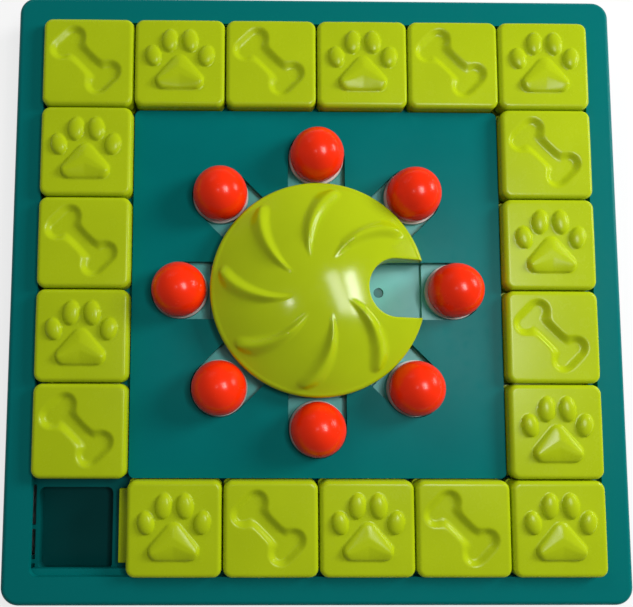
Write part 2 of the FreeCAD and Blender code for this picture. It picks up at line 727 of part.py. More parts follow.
def notch_outline(sketch, s, margin):
    """Draw the notch that lets one knob in, widened by a margin."""
    half = s["ball_radius"] + s["notch_play"] + margin
    centre, mouth = s["notch_inner"], s["wheel_radius"] + s["rim_gap"]
    outline(sketch, [
        (centre, -half), (mouth, -half), (mouth, half), (centre, half, half), (centre - half, 0, half)])


def vane_outline(sketch, s):
    """Draw one curved vane, from its sharp inner tip to its round outer end."""
    start, end = math.radians(VANE_START), math.radians(VANE_END)
    heading = math.radians(VANE_HEADING)
    tip = (s["vane_inner"] * math.cos(start), s["vane_inner"] * math.sin(start))
    across, along = s["vane_outer"] * math.cos(end), s["vane_outer"] * math.sin(end)
    side = s["vane_width"] * math.cos(heading), s["vane_width"] * math.sin(heading)
    inner = (across + side[1], along - side[0])
    outer = (across - side[1], along + side[0])
    outline(sketch, [inner + (s["vane_end"],), outer + (s["vane_back"],), tip + (-s["vane_front"],)])


def build_wheel(doc, s):
    """Domed wheel: a shell with a walled notch, curved vanes and a hub."""
    dome = turned_solid(doc, "dome", dome_profile(s, 0.0, 0.0))
    cavity = turned_solid(doc, "dome_cavity", dome_profile(s, s["wheel_shell"], 0.0))
    raised = turned_solid(doc, "raised_dome", dome_profile(s, 0.0, s["vane_height"]))
    low, high = s["rim_low"] - OVERSHOOT, s["dome_top"] + OVERSHOOT
    notch = standing_prism(doc, "notch", low, high, lambda k: notch_outline(k, s, 0.0))
    notch_wall = standing_prism(doc, "notch_wall", low, high,
                                lambda k: notch_outline(k, s, s["wheel_shell"]))
    hollow = subtract(doc, "wheel_hollow", cavity, notch_wall)
    shell = subtract(doc, "wheel_shell", dome, hollow)
    skin = subtract(doc, "vane_skin", raised, cavity)
    prisms = [standing_prism(doc, "vane_%d" % index, s["rim_low"], high, lambda k: vane_outline(k, s),
                             index * FULL_TURN / KNOBS) for index in range(1, KNOBS)]
    vanes = combine(doc, "Common", "vanes", [combine(doc, "Fuse", "vane_prisms", prisms), skin])
    shoulder, roof = s["collar_top"] + s["end_play"], s["dome_top"] - s["wheel_shell"]
    hub = turned_solid(doc, "hub", [
        (0, s["hub_low"]), (s["hub_radius"], s["hub_low"]), (s["hub_radius"], shoulder),
        (s["hub_shoulder"], shoulder), (s["hub_shoulder"], roof), (0, roof + s["wheel_shell"] / 2)])
    solid = combine(doc, "Fuse", "wheel_solid", [shell, vanes, hub])
    open_notch = subtract(doc, "wheel_open", solid, notch)
    bore = doc.addObject("Part::Cylinder", "hub_bore")
    bind(bore, "Radius", s["hub_bore"])
    bind(bore, "Height", s["wheel_screw_bite"] + s["end_play"])
    bind(bore, "Placement.Base.z", s["hub_low"])
    wheel = subtract(doc, "treat_wheel", open_notch, bore)
    wheel.Label = "treat_wheel"
    return wheel


def build_wheel_fastening(doc, s):
    washer = new_body(doc, "wheel_washer")
    low = s["hub_low"] - s["washer_thick"]
    raise_slab(washer, "washer_ring", low, s["hub_low"], lambda k: circle(k, 0, 0, s["washer_radius"]))
    sink_slab(washer, "washer_bore", low, s["hub_low"],
              lambda k: circle(k, 0, 0, s["wheel_screw_radius"] + s["screw_play"]))
    screw = new_body(doc, "wheel_screw")
    screw_body(screw, low, s["wheel_screw_head"], s["head_height"], s["wheel_screw_radius"],
               s["washer_thick"] + s["wheel_screw_bite"])
    return [washer, screw]


def screw_body(body, seat, head, height, shank, reach):
    """A pan-head screw that points up, with its head's upper face at the seat."""
    return turn_profile(body, body.Name + "_profile", [
        (0, seat - height), (head, seat - height), (head, seat), (shank, seat),
        (shank, seat + reach), (0, seat + reach)])


def clone_body(doc, name, source):
    """A body with the same shape as another one, to be placed on its own."""
    body = new_body(doc, name)
    feature = doc.addObject("PartDesign::FeatureBase", name + "_base")
    feature.BaseFeature = source
    body.Group = [feature]
    body.Tip = feature
    return body


def place(body, across, along, turn=0.0):
    body.Placement = FreeCAD.Placement(FreeCAD.Vector(), FreeCAD.Rotation(FreeCAD.Vector(0, 0, 1), turn))
    bind(body, "Placement.Base.x", across)
    bind(body, "Placement.Base.y", along)


def build_ball(doc, s, name):
    """Round knob with a flat seat and a blind hole for its screw."""
    body = new_body(doc, name)
    radius, seat, bore = s["ball_radius"], s["ball_low"], s["screw_bore"]
    flat = math.sqrt(radius.value ** 2 - s["ball_seat"].value ** 2)
    roof = seat + s["knob_screw_bite"] + s["screw_play"]
    turn_profile(body, name + "_profile", [
        (bore, seat), (flat, seat, radius), (0, s["ball_centre"] + radius), (0, roof), (bore, roof)])
    return body


def build_shoe(doc, s, name):
    """Sliding shoe: a flange under the slot's lips and a collar that fills the slot."""
    body = new_body(doc, name)
    half, wide = s["shoe_length"] / 2, s["shoe_half"]
    raise_slab(body, name + "_flange", s["shoe_low"], s["shoe_top"],
               lambda k: rounded_box(k, -half, half, -wide, wide, s["shoe_corner"]))
    raise_slab(body, name + "_collar", s["shoe_top"], s["ball_low"],
               lambda k: circle(k, 0, 0, s["slot_half"] - s["shoe_collar_play"]))
    sink_slab(body, name + "_bore", s["shoe_low"], s["ball_low"],
              lambda k: circle(k, 0, 0, s["screw_bore"]))
    sink_slab(body, name + "_counterbore", s["shoe_low"], knob_screw_seat(s),
              lambda k: circle(k, 0, 0, s["screw_head"] + s["screw_play"]))
    return body


def knob_screw_seat(s):
    return s["shoe_low"] + s["head_height"] + s["screw_play"]


def build_knob_screw(doc, s, name):
    body = new_body(doc, name)
    seat = knob_screw_seat(s)
    screw_body(body, seat, s["screw_head"], s["head_height"], s["screw_radius"],
               s["ball_low"] - seat + s["knob_screw_bite"])
    return body


def build_knobs(doc, s):
    """Eight knobs, each with its shoe and screw, on the radial slots."""
    parts = []
    makers = (("knob", build_ball), ("knob_shoe", build_shoe), ("knob_screw", build_knob_screw))
    for kind, maker in makers:
        source = None
        for index, where in enumerate(KNOB_NAMES):
            name = "%s_%s" % (kind, where)
            body = maker(doc, s, name) if source is None else clone_body(doc, name, source)
            source = source or body
            parts.append((body, index))
    doc.recompute()
    for body, index in parts:
        turn = index * FULL_TURN / KNOBS
        angle = math.radians(turn)
        place(body, s["knob_ring"] * math.cos(angle), s["knob_ring"] * math.sin(angle), turn)
    return [body for body, index in parts]


def build_tile_blank(doc, s, name):
    """Tile with tongues on its left and far sides and grooves on its right and near sides."""
    body = new_body(doc, name)
    half, depth, wall = s["tile_half"], s["groove_depth"], s["tile_wall"]
    block = raise_slab(body, name + "_block", s["tile_low"], s["tile_top"],
                       lambda k: rounded_box(k, -half, half, -half, half, s["tile_corner"]))
    round_top_edge(body, name + "_edge", block, s["tile_top"], s["tile_round"])
    shelf, outside = half - depth, half + depth

    def grooves(sketch):
        outline(sketch, [
            (-outside, -outside), (outside, -outside), (outside, outside), (shelf, outside),
            (shelf, -shelf), (-outside, -shelf)])

    sink_slab(body, name + "_grooves", s["groove_low"], s["groove_high"], grooves)
    reach, span, bend = s["tongue_reach"], s["tongue_length"] / 2, s["tongue_corner"]
    root = half - s["tile_corner"] / 2

    def left_tongue(sketch):
        outline(sketch, [(-root, -span), (-root, span), (bend - half - reach, span, bend),
                         (-half - reach, span - bend), (-half - reach, bend - span, bend),
                         (bend - half - reach, -span)])

    def far_tongue(sketch):
        outline(sketch, [(-span, root), (span, root), (span, half + reach - bend, bend),
                         (span - bend, half + reach), (bend - span, half + reach, bend),
                         (-span, half + reach - bend)])

    raise_slab(body, name + "_tongue_left", s["tongue_level"], s["tongue_roof"], left_tongue)
    raise_slab(body, name + "_tongue_far", s["tongue_level"], s["tongue_roof"], far_tongue)
    low, high = wall - half, half - depth - wall
    sink_slab(body, name + "_hollow", s["tile_low"], s["tile_top"] - s["tile_crown"],
              lambda k: rounded_box(k, low, high, -high, -low, s["tile_corner"] - wall))
    return body


def build_bone_tile(doc, s, name):
    """Tile with a sunken bone from its far left to its near right corner."""
    body = build_tile_blank(doc, s, name)
    slope = math.sqrt(0.5)
    along, spread = s["bone_reach"] * slope, s["bone_spread"] * slope
    low, top = s["tile_top"] - s["bone_depth"], s["tile_top"]
    for end, sign in (("far", 1), ("near", -1)):
        across, rise = along * -sign, along * sign
        sink_slab(body, "%s_lobes_%s" % (name, end), low, top, lambda k: pebble(k, [
            (across - spread, rise - spread, s["bone_lobe"]),
            (across + spread, rise + spread, s["bone_lobe"])]))
    sink_slab(body, name + "_shaft", low, top, lambda k: pebble(k, [
        (-along, along, s["bone_shaft"]), (along, -along, s["bone_shaft"])]))
    return body


def build_paw_tile(doc, s, name):
    """Tile with a raised paw: four toes and a three-lobed pad."""
    body = build_tile_blank(doc, s, name)
    low, top = s["tile_top"], s["tile_top"] + s["paw_height"]
    for kind, away in (("toe", 1), ("side_toe", -1)):
        side, rise = s[kind + "_side"], s[kind + "_rise"]
        radius, stretch = s[kind + "_radius"], s[kind + "_stretch"]
        for hand, sign in (("left", -1), ("right", 1)):
            lean = math.radians(s[kind + "_lean"].value) * sign * away
            across, along = stretch * -math.sin(lean), stretch * math.cos(lean)
            raise_slab(body, "%s_%s_%s" % (name, kind, hand), low, top, lambda k: pebble(k, [
                (side * sign - across, rise - along, radius),
                (side * sign + across, rise + along, radius)]))
    lobe = s["pad_lobe_radius"]
    raise_slab(body, name + "_pad_relief", low, top, lambda k: pebble(k, [
        (-s["pad_lobe_side"], -s["pad_lobe_drop"], lobe),
        (s["pad_lobe_side"], -s["pad_lobe_drop"], lobe),
        (0.0, -s["pad_peak_drop"], s["pad_peak_radius"])]))
    return body


def tile_cells():
    """Name, column, row from the near side, and relief of each tile; the near left cell is free."""
    cells = []
    last = CELLS - 1
    for column in range(CELLS):
        cells.append(("tile_top_%d" % (column + 1), column, last))
    for row in range(1, last):
        cells.append(("tile_left_%d" % (CELLS - row), 0, row))
        cells.append(("tile_right_%d" % (CELLS - row), last, row))
    for column in range(1, CELLS):
        cells.append(("tile_bottom_%d" % (column + 1), column, 0))
    # The reliefs alternate along each side, and the near row starts again with a paw.
    return [(name, column, row, "paw" if (column + max(row, 1)) % 2 == 0 else "bone")
            for name, column, row in cells]


def build_tiles(doc, s):
    """Nineteen tiles on the track's twenty cells."""
    makers = {"bone": build_bone_tile, "paw": build_paw_tile}
    sources, tiles = {}, []
    for name, column, row, relief in tile_cells():
        if relief in sources:
            body = clone_body(doc, name, sources[relief])
        else:
            body = makers[relief](doc, s, name)
            sources[relief] = body
        tiles.append((body, column, row))
    doc.recompute()
    for body, column, row in tiles:
        place(body, cell_place(s, column), cell_place(s, row))
    return [body for body, column, row in tiles]


def build_group(doc, name, source, places):
    """Copies of one solid at several places, kept together as one piece."""
    copies = []
    for index, (across, along) in enumerate(places):
        copy = clone_body(doc, "%s_%d" % (name, index + 1), source)
        copies.append((copy, across, along))
    doc.recompute()
    for copy, across, along in copies:
        place(copy, across, along)
    group = doc.addObject("Part::Compound", name)
    group.Links = [copy for copy, across, along in copies]
    group.Label = name
    return group


def build_groups(doc, s):
    """Deck screws and rubber feet."""
    screw = new_body(doc, "deck_screw_single")
    screw_body(screw, s["plate_low"], s["screw_head"], s["head_height"], s["screw_radius"],
               s["floor_plate"] + s["tray_plate"] + s["deck_screw_bite"])
    places = []
    for index in range(KNOBS):
        turn = math.pi * (2 * index + 1) / KNOBS
        places.append((s["deck_screw_ring"] * math.cos(turn), s["deck_screw_ring"] * math.sin(turn)))
    screws = build_group(doc, "deck_screws", screw, places)
    foot = new_body(doc, "rubber_foot_single")
    height = s["wall_base"] + s["foot_seat"]
    raise_slab(foot, "foot_disc", 0.0, height, lambda k: circle(k, 0, 0, s["foot_radius"]))
    corner = s["foot_place"]
    feet = build_group(doc, "rubber_feet", foot,
                       [(corner, corner), (-corner, corner), (-corner, -corner), (corner, -corner)])
    return [screws, feet]


def check_document(doc, parts):
    """Stop when a feature failed or a piece is not a valid solid."""
    for thing in doc.Objects:
        if "Invalid" in thing.State or "Error" in thing.State:
            raise RuntimeError("feature failed: %s %s" % (thing.Name, thing.State))
    for piece in parts:
        shape = piece.Shape
        if shape.isNull() or not shape.isValid() or not shape.Solids:
            raise RuntimeError("piece is not a valid solid: " + piece.Label)


def main():
    doc = FreeCAD.newDocument("puzzle_feeder")
    s = make_sheet(doc)
    derive(s)
    parts = [build_base(doc, s), build_deck(doc, s), build_tray(doc, s), build_wheel(doc, s)]
    parts += build_wheel_fastening(doc, s)
    parts += build_knobs(doc, s)
    parts += build_tiles(doc, s)
    parts += build_groups(doc, s)
    doc.recompute()
    check_document(doc, parts)
    os.makedirs("parts", exist_ok=True)
    for piece in parts:
        piece.Shape.exportStep(os.path.join("parts", piece.Label + ".step"))
        bounds = piece.Shape.BoundBox
        print("%-16s solids %d volume %9.1f z %6.2f to %6.2f" % (
            piece.Label, len(piece.Shape.Solids), piece.Shape.Volume, bounds.ZMin, bounds.ZMax))


main()
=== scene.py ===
import json
import math

import bmesh
import bpy
from bpy.props import FloatProperty, FloatVectorProperty, PointerProperty
from mathutils import Matrix, Vector

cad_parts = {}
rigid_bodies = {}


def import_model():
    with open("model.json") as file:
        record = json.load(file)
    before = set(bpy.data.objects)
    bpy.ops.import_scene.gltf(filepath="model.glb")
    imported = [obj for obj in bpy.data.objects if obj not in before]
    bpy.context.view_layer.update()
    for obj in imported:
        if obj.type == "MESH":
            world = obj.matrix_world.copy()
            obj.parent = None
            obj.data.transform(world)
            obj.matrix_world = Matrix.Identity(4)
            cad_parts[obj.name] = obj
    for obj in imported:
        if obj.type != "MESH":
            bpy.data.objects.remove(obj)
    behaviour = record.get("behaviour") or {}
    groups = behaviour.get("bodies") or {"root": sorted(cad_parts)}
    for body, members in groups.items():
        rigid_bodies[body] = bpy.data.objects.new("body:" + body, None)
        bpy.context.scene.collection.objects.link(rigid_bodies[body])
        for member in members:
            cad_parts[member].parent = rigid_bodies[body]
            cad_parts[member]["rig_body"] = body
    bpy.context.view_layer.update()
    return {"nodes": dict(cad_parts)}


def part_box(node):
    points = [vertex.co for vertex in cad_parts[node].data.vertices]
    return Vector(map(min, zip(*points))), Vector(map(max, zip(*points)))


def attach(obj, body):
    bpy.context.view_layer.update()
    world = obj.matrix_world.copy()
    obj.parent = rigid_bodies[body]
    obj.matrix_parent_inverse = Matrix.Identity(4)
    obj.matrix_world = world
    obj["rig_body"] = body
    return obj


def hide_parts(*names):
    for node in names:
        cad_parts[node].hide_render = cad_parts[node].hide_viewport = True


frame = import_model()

bl_info = {
    "name": "Dog puzzle feeder",
    "version": (1, 0, 0),
    "blender": (4, 5, 0),
    "location": "View3D > Sidebar > Feeder",
    "description": "Dresses the board, its sliding tiles, knobs and treat wheel",
    "category": "Object",
}

MM = 0.001
KNOBS = 8
TILE_NODES = sorted(name for name in frame["nodes"] if name.startswith("tile_"))
WHEEL_LOW, WHEEL_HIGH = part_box("treat_wheel")
BONE_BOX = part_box("tile_top_1")
PAW_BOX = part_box("tile_top_2")
KNOB_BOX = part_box("knob_e")


# Sizes and colours that a user would change

class FeederSizes(bpy.types.PropertyGroup):
    """Sizes of the dressed pieces"""
    tile_round: FloatProperty(
        name="Tile edge", description="Radius of a tile's top edge",
        default=3.0 * MM, unit="LENGTH")
    tile_corner: FloatProperty(
        name="Tile corner", description="Corner radius of a tile seen from above",
        default=6.0 * MM, unit="LENGTH")
    tile_crown: FloatProperty(
        name="Tile crown", description="Fall of a tile's top from its middle to its edges",
        default=0.5 * MM, unit="LENGTH")
    grid_step: FloatProperty(
        name="Relief step", description="Spacing of the points that carry the reliefs",
        default=0.75 * MM, unit="LENGTH")
    bone_depth: FloatProperty(
        name="Bone depth", description="Depth of the sunken bone",
        default=2.7 * MM, unit="LENGTH")
    paw_height: FloatProperty(
        name="Paw height", description="Height of the raised paw",
        default=3.0 * MM, unit="LENGTH")
    vane_height: FloatProperty(
        name="Vane height", description="Height of the wheel's vanes",
        default=3.4 * MM, unit="LENGTH")
    wheel_shell: FloatProperty(
        name="Wheel wall", description="Wall thickness of the treat wheel",
        default=2.5 * MM, unit="LENGTH")


class FeederColours(bpy.types.PropertyGroup):
    """Colours of the moulded plastics"""
    lime: FloatVectorProperty(
        name="Lime", description="Tiles and treat wheel", subtype="COLOR", size=4,
        min=0.0, max=1.0, default=(0.395, 0.505, 0.004, 1.0))
    teal: FloatVectorProperty(
        name="Teal", description="Board and centre deck", subtype="COLOR", size=4,
        min=0.0, max=1.0, default=(0.000, 0.148, 0.144, 1.0))
    orange: FloatVectorProperty(
        name="Orange", description="Knobs", subtype="COLOR", size=4,
        min=0.0, max=1.0, default=(0.980, 0.026, 0.001, 1.0))
    pale: FloatVectorProperty(
        name="Pale teal", description="Inner tray and the shoes' flanges", subtype="COLOR", size=4,
        min=0.0, max=1.0, default=(0.120, 0.480, 0.450, 1.0))
    collar: FloatVectorProperty(
        name="Collar", description="Collars under the knobs", subtype="COLOR", size=4,
        min=0.0, max=1.0, default=(0.620, 0.560, 0.520, 1.0))


# Shader maths

class Wire:
    """A shader socket, or a number, that takes part in Python arithmetic."""

    def __init__(self, tree, socket):
        self.tree = tree
        self.socket = socket

    def node(self, kind, settings=None, inputs=None, output=0):
        """Add a node: its settings first, then the values or links of its sockets."""
        made = self.tree.nodes.new(kind)
        for key, value in (settings or {}).items():
            if key == "stops":
                fill_ramp(made.color_ramp, value)
            else:
                setattr(made, key, value)
        for key, value in (inputs or {}).items():
            if isinstance(value, Wire):
                self.tree.links.new(value.socket, made.inputs[key])
            else:
                made.inputs[key].default_value = value
        return Wire(self.tree, made.outputs[output])

    def maths(self, operation, first, second):
        """Add a Math node for two wires or numbers."""
        return self.node("ShaderNodeMath", {"operation": operation}, {0: first, 1: second})

    def __add__(self, other):
        return self.maths("ADD", self, other)

    def __radd__(self, other):
        return self.maths("ADD", other, self)

    def __sub__(self, other):
        return self.maths("SUBTRACT", self, other)

    def __rsub__(self, other):
        return self.maths("SUBTRACT", other, self)

    def __mul__(self, other):
        return self.maths("MULTIPLY", self, other)

    def __rmul__(self, other):
        return self.maths("MULTIPLY", other, self)


def fill_ramp(ramp, stops):
    """Give a colour ramp its stops, as (place, grey) pairs."""
    while len(ramp.elements) > 1:
        ramp.elements.remove(ramp.elements[-1])
    for index, (spot, grey) in enumerate(stops):
        element = ramp.elements[0] if index == 0 else ramp.elements.new(spot)
        element.position = spot
        element.color = (grey, grey, grey, 1.0)


def new_material(name):
    """A material with its Principled shader and a wire to start expressions from."""
    material = bpy.data.materials.get(name)
    if material:
        bpy.data.materials.remove(material)
    material = bpy.data.materials.new(name)
    material.use_nodes = True
    tree = material.node_tree
    shader = tree.nodes["Principled BSDF"]
    start = Wire(tree, shader.outputs[0])
    return material, shader, start


def plug(shader, name, wire):
    """Link a wire to a named input of a shader."""
    wire.tree.links.new(wire.socket, shader.inputs[name])


def plug_bump(shader, height, strength, distance):
    """Turn a height into the shader's normal."""
    plug(shader, "Normal", height.node("ShaderNodeBump", {}, {
        "Strength": strength, "Distance": distance, "Height": height}))


def noise(start, place, scale, detail=2.0, roughness=0.5):
    """Noise over the object's own coordinates."""
    return start.node("ShaderNodeTexNoise", {}, {
        "Vector": place, "Scale": scale, "Detail": detail, "Roughness": roughness})


# Numbers of sockets: Texture Coordinate's Object output, and a colour Mix's inputs and output
OBJECT_PLACE = 3
MIX_SHARE, MIX_FIRST, MIX_SECOND, MIX_RESULT = 0, 6, 7, 2


def object_place(start):
    """The object's own coordinates."""
    return start.node("ShaderNodeTexCoord", output=OBJECT_PLACE)


def mix_colours(start, share, first, second):
    """Mix two colours by a share."""
    return start.node("ShaderNodeMix", {"data_type": "RGBA"}, {
        MIX_SHARE: share, MIX_FIRST: first, MIX_SECOND: second}, output=MIX_RESULT)


def scaled(colour, factor):
    """A colour made lighter or darker by one factor."""
    return tuple(min(1.0, part * factor) for part in colour[:3]) + (1.0,)


def square_reach(start, place):
    """Wire of the larger of a point's two plan distances from the middle."""
    plan = [start.node("ShaderNodeSeparateXYZ", {}, {0: place}, output=axis) for axis in (0, 1)]
    size = [start.node("ShaderNodeMath", {"operation": "ABSOLUTE"}, {0: wire}) for wire in plan]
    return start.maths("MAXIMUM", size[0], size[1])


PLASTIC_SHADE = 0.88
PLASTIC_IOR = 1.49
PLASTIC_WEAR = [(0.52, 0.0), (0.78, 1.0)]
FLOW_SCALE, SPECK_SCALE, SCUFF_SCALE = 22.0, 900.0, 140.0
FLOW_ROUGHNESS, WEAR_ROUGHNESS = 0.06, 0.10
SPECK_HEIGHT = 0.012
METAL_SCALE = 700.0
GRAIN_SCALE, CLOUD_SCALE = 1400.0, 60.0
OUTER_WALL = 200.0 * MM


def moulded_plastic(name, colour, roughness, ripple=0.05, mirror=0.5, upper=None, levels=None):
    """Injection-moulded plastic: faint flow marks, fine surface texture and light wear.

    An upper colour takes over between two levels, and covers the board's outer walls. On the board and the
    inner tray the colour below the levels is painted shade in the recesses; on the shoes it is the flange's
    own colour under the collar.
    """
    material, shader, start = new_material(name)
    place = object_place(start)
    flow = noise(start, place, FLOW_SCALE, 3.0)
    speck = noise(start, place, SPECK_SCALE)
    scuff = noise(start, place, SCUFF_SCALE, 5.0, 0.7)
    worn = start.node("ShaderNodeValToRGB", {"stops": PLASTIC_WEAR}, {0: scuff})
    mixed = mix_colours(start, flow * 0.9 + speck * 0.1, scaled(colour, PLASTIC_SHADE),
                        scaled(colour, 2.0 - PLASTIC_SHADE))
    # Below the levels: painted shade on the board and inner tray, the flange's own colour on the shoes
    if upper:
        height = start.node("ShaderNodeSeparateXYZ", {}, {0: place}, output=2)
        share = start.node("ShaderNodeMapRange", {}, {0: height, 1: levels[0], 2: levels[1]})
        outer = start.maths("GREATER_THAN", square_reach(start, place), OUTER_WALL)
        mixed = mix_colours(start, start.maths("MAXIMUM", share, outer), mixed, upper)
    plug(shader, "Base Color", mixed)
    plug(shader, "Roughness", roughness + worn * WEAR_ROUGHNESS + flow * FLOW_ROUGHNESS - FLOW_ROUGHNESS / 2)
    plug_bump(shader, flow * ripple + speck * SPECK_HEIGHT, 0.35, 0.6 * MM)
    shader.inputs["Specular IOR Level"].default_value = mirror
    shader.inputs["IOR"].default_value = PLASTIC_IOR
    return material


def turned_metal(name, colour):
    """Zinc-plated steel with fine turning marks."""
    material, shader, start = new_material(name)
    rings = noise(start, object_place(start), METAL_SCALE, 3.0)
    plug(shader, "Base Color", mix_colours(start, rings, scaled(colour, 0.75), colour))
    plug(shader, "Roughness", 0.25 + rings * 0.25)
    plug_bump(shader, rings, 0.2, 0.3 * MM)
    shader.inputs["Metallic"].default_value = 1.0
    return material


def soft_rubber(name, colour):
    """Matt rubber with a fine grain."""
    material, shader, start = new_material(name)
    place = object_place(start)
    grain = noise(start, place, GRAIN_SCALE, 4.0)
    cloud = noise(start, place, CLOUD_SCALE)
    plug(shader, "Base Color", mix_colours(start, cloud, colour, scaled(colour, 1.8)))
    plug(shader, "Roughness", 0.75 + grain * 0.15)
    plug_bump(shader, grain, 0.5, 0.3 * MM)
    return material


def wear_material(node, material):
    """Give a CAD node its finish."""
    node.data.materials.clear()
    node.data.materials.append(material)


# Shape helpers

SAME_POINT = 1e-6
NO_LENGTH = 1e-7


def smooth_step(value):
    """Rise from zero to one with level ends."""
    value = min(1.0, max(0.0, value))
    return value * value * (3.0 - 2.0 * value)


def smooth_least(values, blend):
    """The least of several distances, with rounded joins."""
    least = min(values)
    return least - blend * math.log(sum(math.exp((least - value) / blend) for value in values))


def capsule_distance(x, y, start, end, radius):
    """Distance from a point to a rounded bar between two points."""
    along = (end[0] - start[0], end[1] - start[1])
    share = ((x - start[0]) * along[0] + (y - start[1]) * along[1]) / (along[0] ** 2 + along[1] ** 2)
    share = min(1.0, max(0.0, share))
    return math.hypot(x - start[0] - along[0] * share, y - start[1] - along[1] * share) - radius


def finish_mesh(name, verts, faces, material, body, nodes, slot, sharp=40.0):
    """Turn points and faces into a smooth-shaded piece that rides on its body."""
    mesh = bpy.data.meshes.new(name)
    build = bmesh.new()
    made = [build.verts.new(vert) for vert in verts]
    for face in faces:
        corners = [made[index] for index in face]
        if len(set(corners)) > 2:
            try:
                build.faces.new(corners)
            except ValueError:
                continue
    bmesh.ops.remove_doubles(build, verts=build.verts, dist=SAME_POINT)
    bmesh.ops.dissolve_degenerate(build, edges=build.edges, dist=NO_LENGTH)
    bmesh.ops.recalc_face_normals(build, faces=build.faces)
    build.to_mesh(mesh)
    build.free()
    mesh.shade_smooth()
    mesh.set_sharp_from_angle(angle=math.radians(sharp))
    piece = bpy.data.objects.new(name, mesh)
    bpy.context.scene.collection.objects.link(piece)
    mesh.materials.append(material)
    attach(piece, body)
    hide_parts(*nodes)
    return piece


def stitch(faces, first, second, count, closed=True):
    """Join two rings of points that start at the given indices."""
    for index in range(count if closed else count - 1):
        after = (index + 1) % count
        faces.append((first + index, first + after, second + after, second + index))


def lathe(profile, steps, centre=(0.0, 0.0)):
    """Points and faces of a closed turned solid from a list of (radius, height)."""
    verts, faces = [], []
    for radius, height in profile:
        for step in range(steps):
            angle = 2 * math.pi * step / steps
            across, along = radius * math.cos(angle), radius * math.sin(angle)
            verts.append((centre[0] + across, centre[1] + along, height))
    for index in range(len(profile) - 1):
        stitch(faces, index * steps, (index + 1) * steps, steps)
    return verts, faces


def add_shell(shell, verts, faces):
    """Append one closed shell to the points and faces of a piece."""
    offset = len(shell[0])
    shell[0].extend(verts)
    shell[1].extend(tuple(index + offset for index in face) for face in faces)


# Tiles. The reliefs' sizes are in millimetres from the tile's centre

BONE_CENTRE = (-1.6, 1.0)
BONE_REACH = 17.6
BONE_SPREAD = 6.5
BONE_SHAFT = 5.0
BONE_LOBE = 5.7
BONE_BLEND = 2.2
BONE_WALL = 5.2


def bone_relief(x, y, sizes):
    """Height of the sunken bone at a point of the tile, in metres."""
    x, y = x / MM - BONE_CENTRE[0], y / MM - BONE_CENTRE[1]
    reach, spread = BONE_REACH * math.sqrt(0.5), BONE_SPREAD * math.sqrt(0.5)
    parts = [capsule_distance(x, y, (-reach, reach), (reach, -reach), BONE_SHAFT)]
    for sign in (-1, 1):
        for side in (-1, 1):
            cx, cy = -sign * reach + side * spread, sign * reach + side * spread
            parts.append(math.hypot(x - cx, y - cy) - BONE_LOBE)
    distance = smooth_least(parts, BONE_BLEND)
    return -sizes.bone_depth * smooth_step(0.5 - distance / BONE_WALL)


# Each toe: centre, half width, half length, and lean to the left in degrees
PAW_TOES = [
    (-18.3, 4.2, 5.6, 7.7, 10.0), (-6.9, 15.0, 5.7, 8.4, -5.0),
    (7.1, 15.0, 5.7, 8.4, 5.0), (18.4, 4.3, 5.6, 7.7, -10.0)]
PAW_PAD = [(-10.6, -13.8), (10.6, -13.8), (0.0, -1.4)]
PAW_PAD_ROUND = 6.6
PAW_PAD_FOOT = 1.2
PAW_PAD_TALL = 1.1
PAW_CREST = [(-14.0, -14.4), (0.0, -7.0), (14.0, -14.4)]
PAW_CREST_ROUND = 0.5
DOME_END = 1.06
DOME_FOOT = 0.16


def toe_height(x, y, toe):
    """Height of one toe, as a share of the paw's height."""
    cx, cy, half_wide, half_long, lean = toe
    turn = math.radians(lean)
    dx, dy = x - cx, y - cy
    across = dx * math.cos(turn) + dy * math.sin(turn)
    along = dy * math.cos(turn) - dx * math.sin(turn)
    return dome_height(math.hypot(across / half_wide, along / half_long))


def pad_height(x, y):
    """Height of the pad, which rises to a bent crest, as a share of the paw's height."""
    inside = PAW_PAD_ROUND - triangle_distance(x, y, PAW_PAD)
    if inside <= 0.0:
        return 0.0
    crest = min(capsule_distance(x, y, *PAW_CREST[k:k + 2], 0.0) for k in (0, 1))
    share = inside / (inside + math.sqrt(crest * crest + PAW_CREST_ROUND))
    slope = 0.4 * share + 0.6 * math.sqrt(share * (2.0 - share))
    return PAW_PAD_TALL * slope * smooth_step(inside / PAW_PAD_FOOT)


def paw_relief(x, y, sizes):
    """Height of the raised paw at a point of the tile, in metres."""
    x, y = x / MM, y / MM
    toes = max(toe_height(x, y, toe) for toe in PAW_TOES)
    return sizes.paw_height * min(1.0, max(toes, pad_height(x, y)))


def triangle_distance(x, y, corners):
    """Distance from a point to a triangle, counter-clockwise; negative inside."""
    sides = [(corners[k], corners[(k + 1) % 3]) for k in range(3)]
    nearest = min(capsule_distance(x, y, start, end, 0.0) for start, end in sides)
    inside = all((end[0] - start[0]) * (y - start[1]) > (end[1] - start[1]) * (x - start[0])
                 for start, end in sides)
    return -nearest if inside else nearest


def dome_height(ratio):
    """Section of a soft dome: one at the middle, none from ratio one on."""
    top = math.sqrt(max(0.0, 1.0 - min(ratio, 1.0) ** 2.0))
    return top * smooth_step((DOME_END - ratio) / DOME_FOOT)


EDGE_ANGLES = (15, 30, 45, 60, 75, 90)


def edge_marks(half, sizes):
    """Places of the grid lines across a tile: even in the middle, close at the rounded edge."""
    flat = half - sizes.tile_round
    count = round(2 * flat / sizes.grid_step)
    marks = [-flat + 2 * flat * index / count for index in range(count + 1)]
    sines = [math.sin(math.radians(angle)) for angle in EDGE_ANGLES]
    bends = [half - sizes.tile_round * (1 - sine) for sine in sines]
    return [-mark for mark in reversed(bends)] + marks + bends


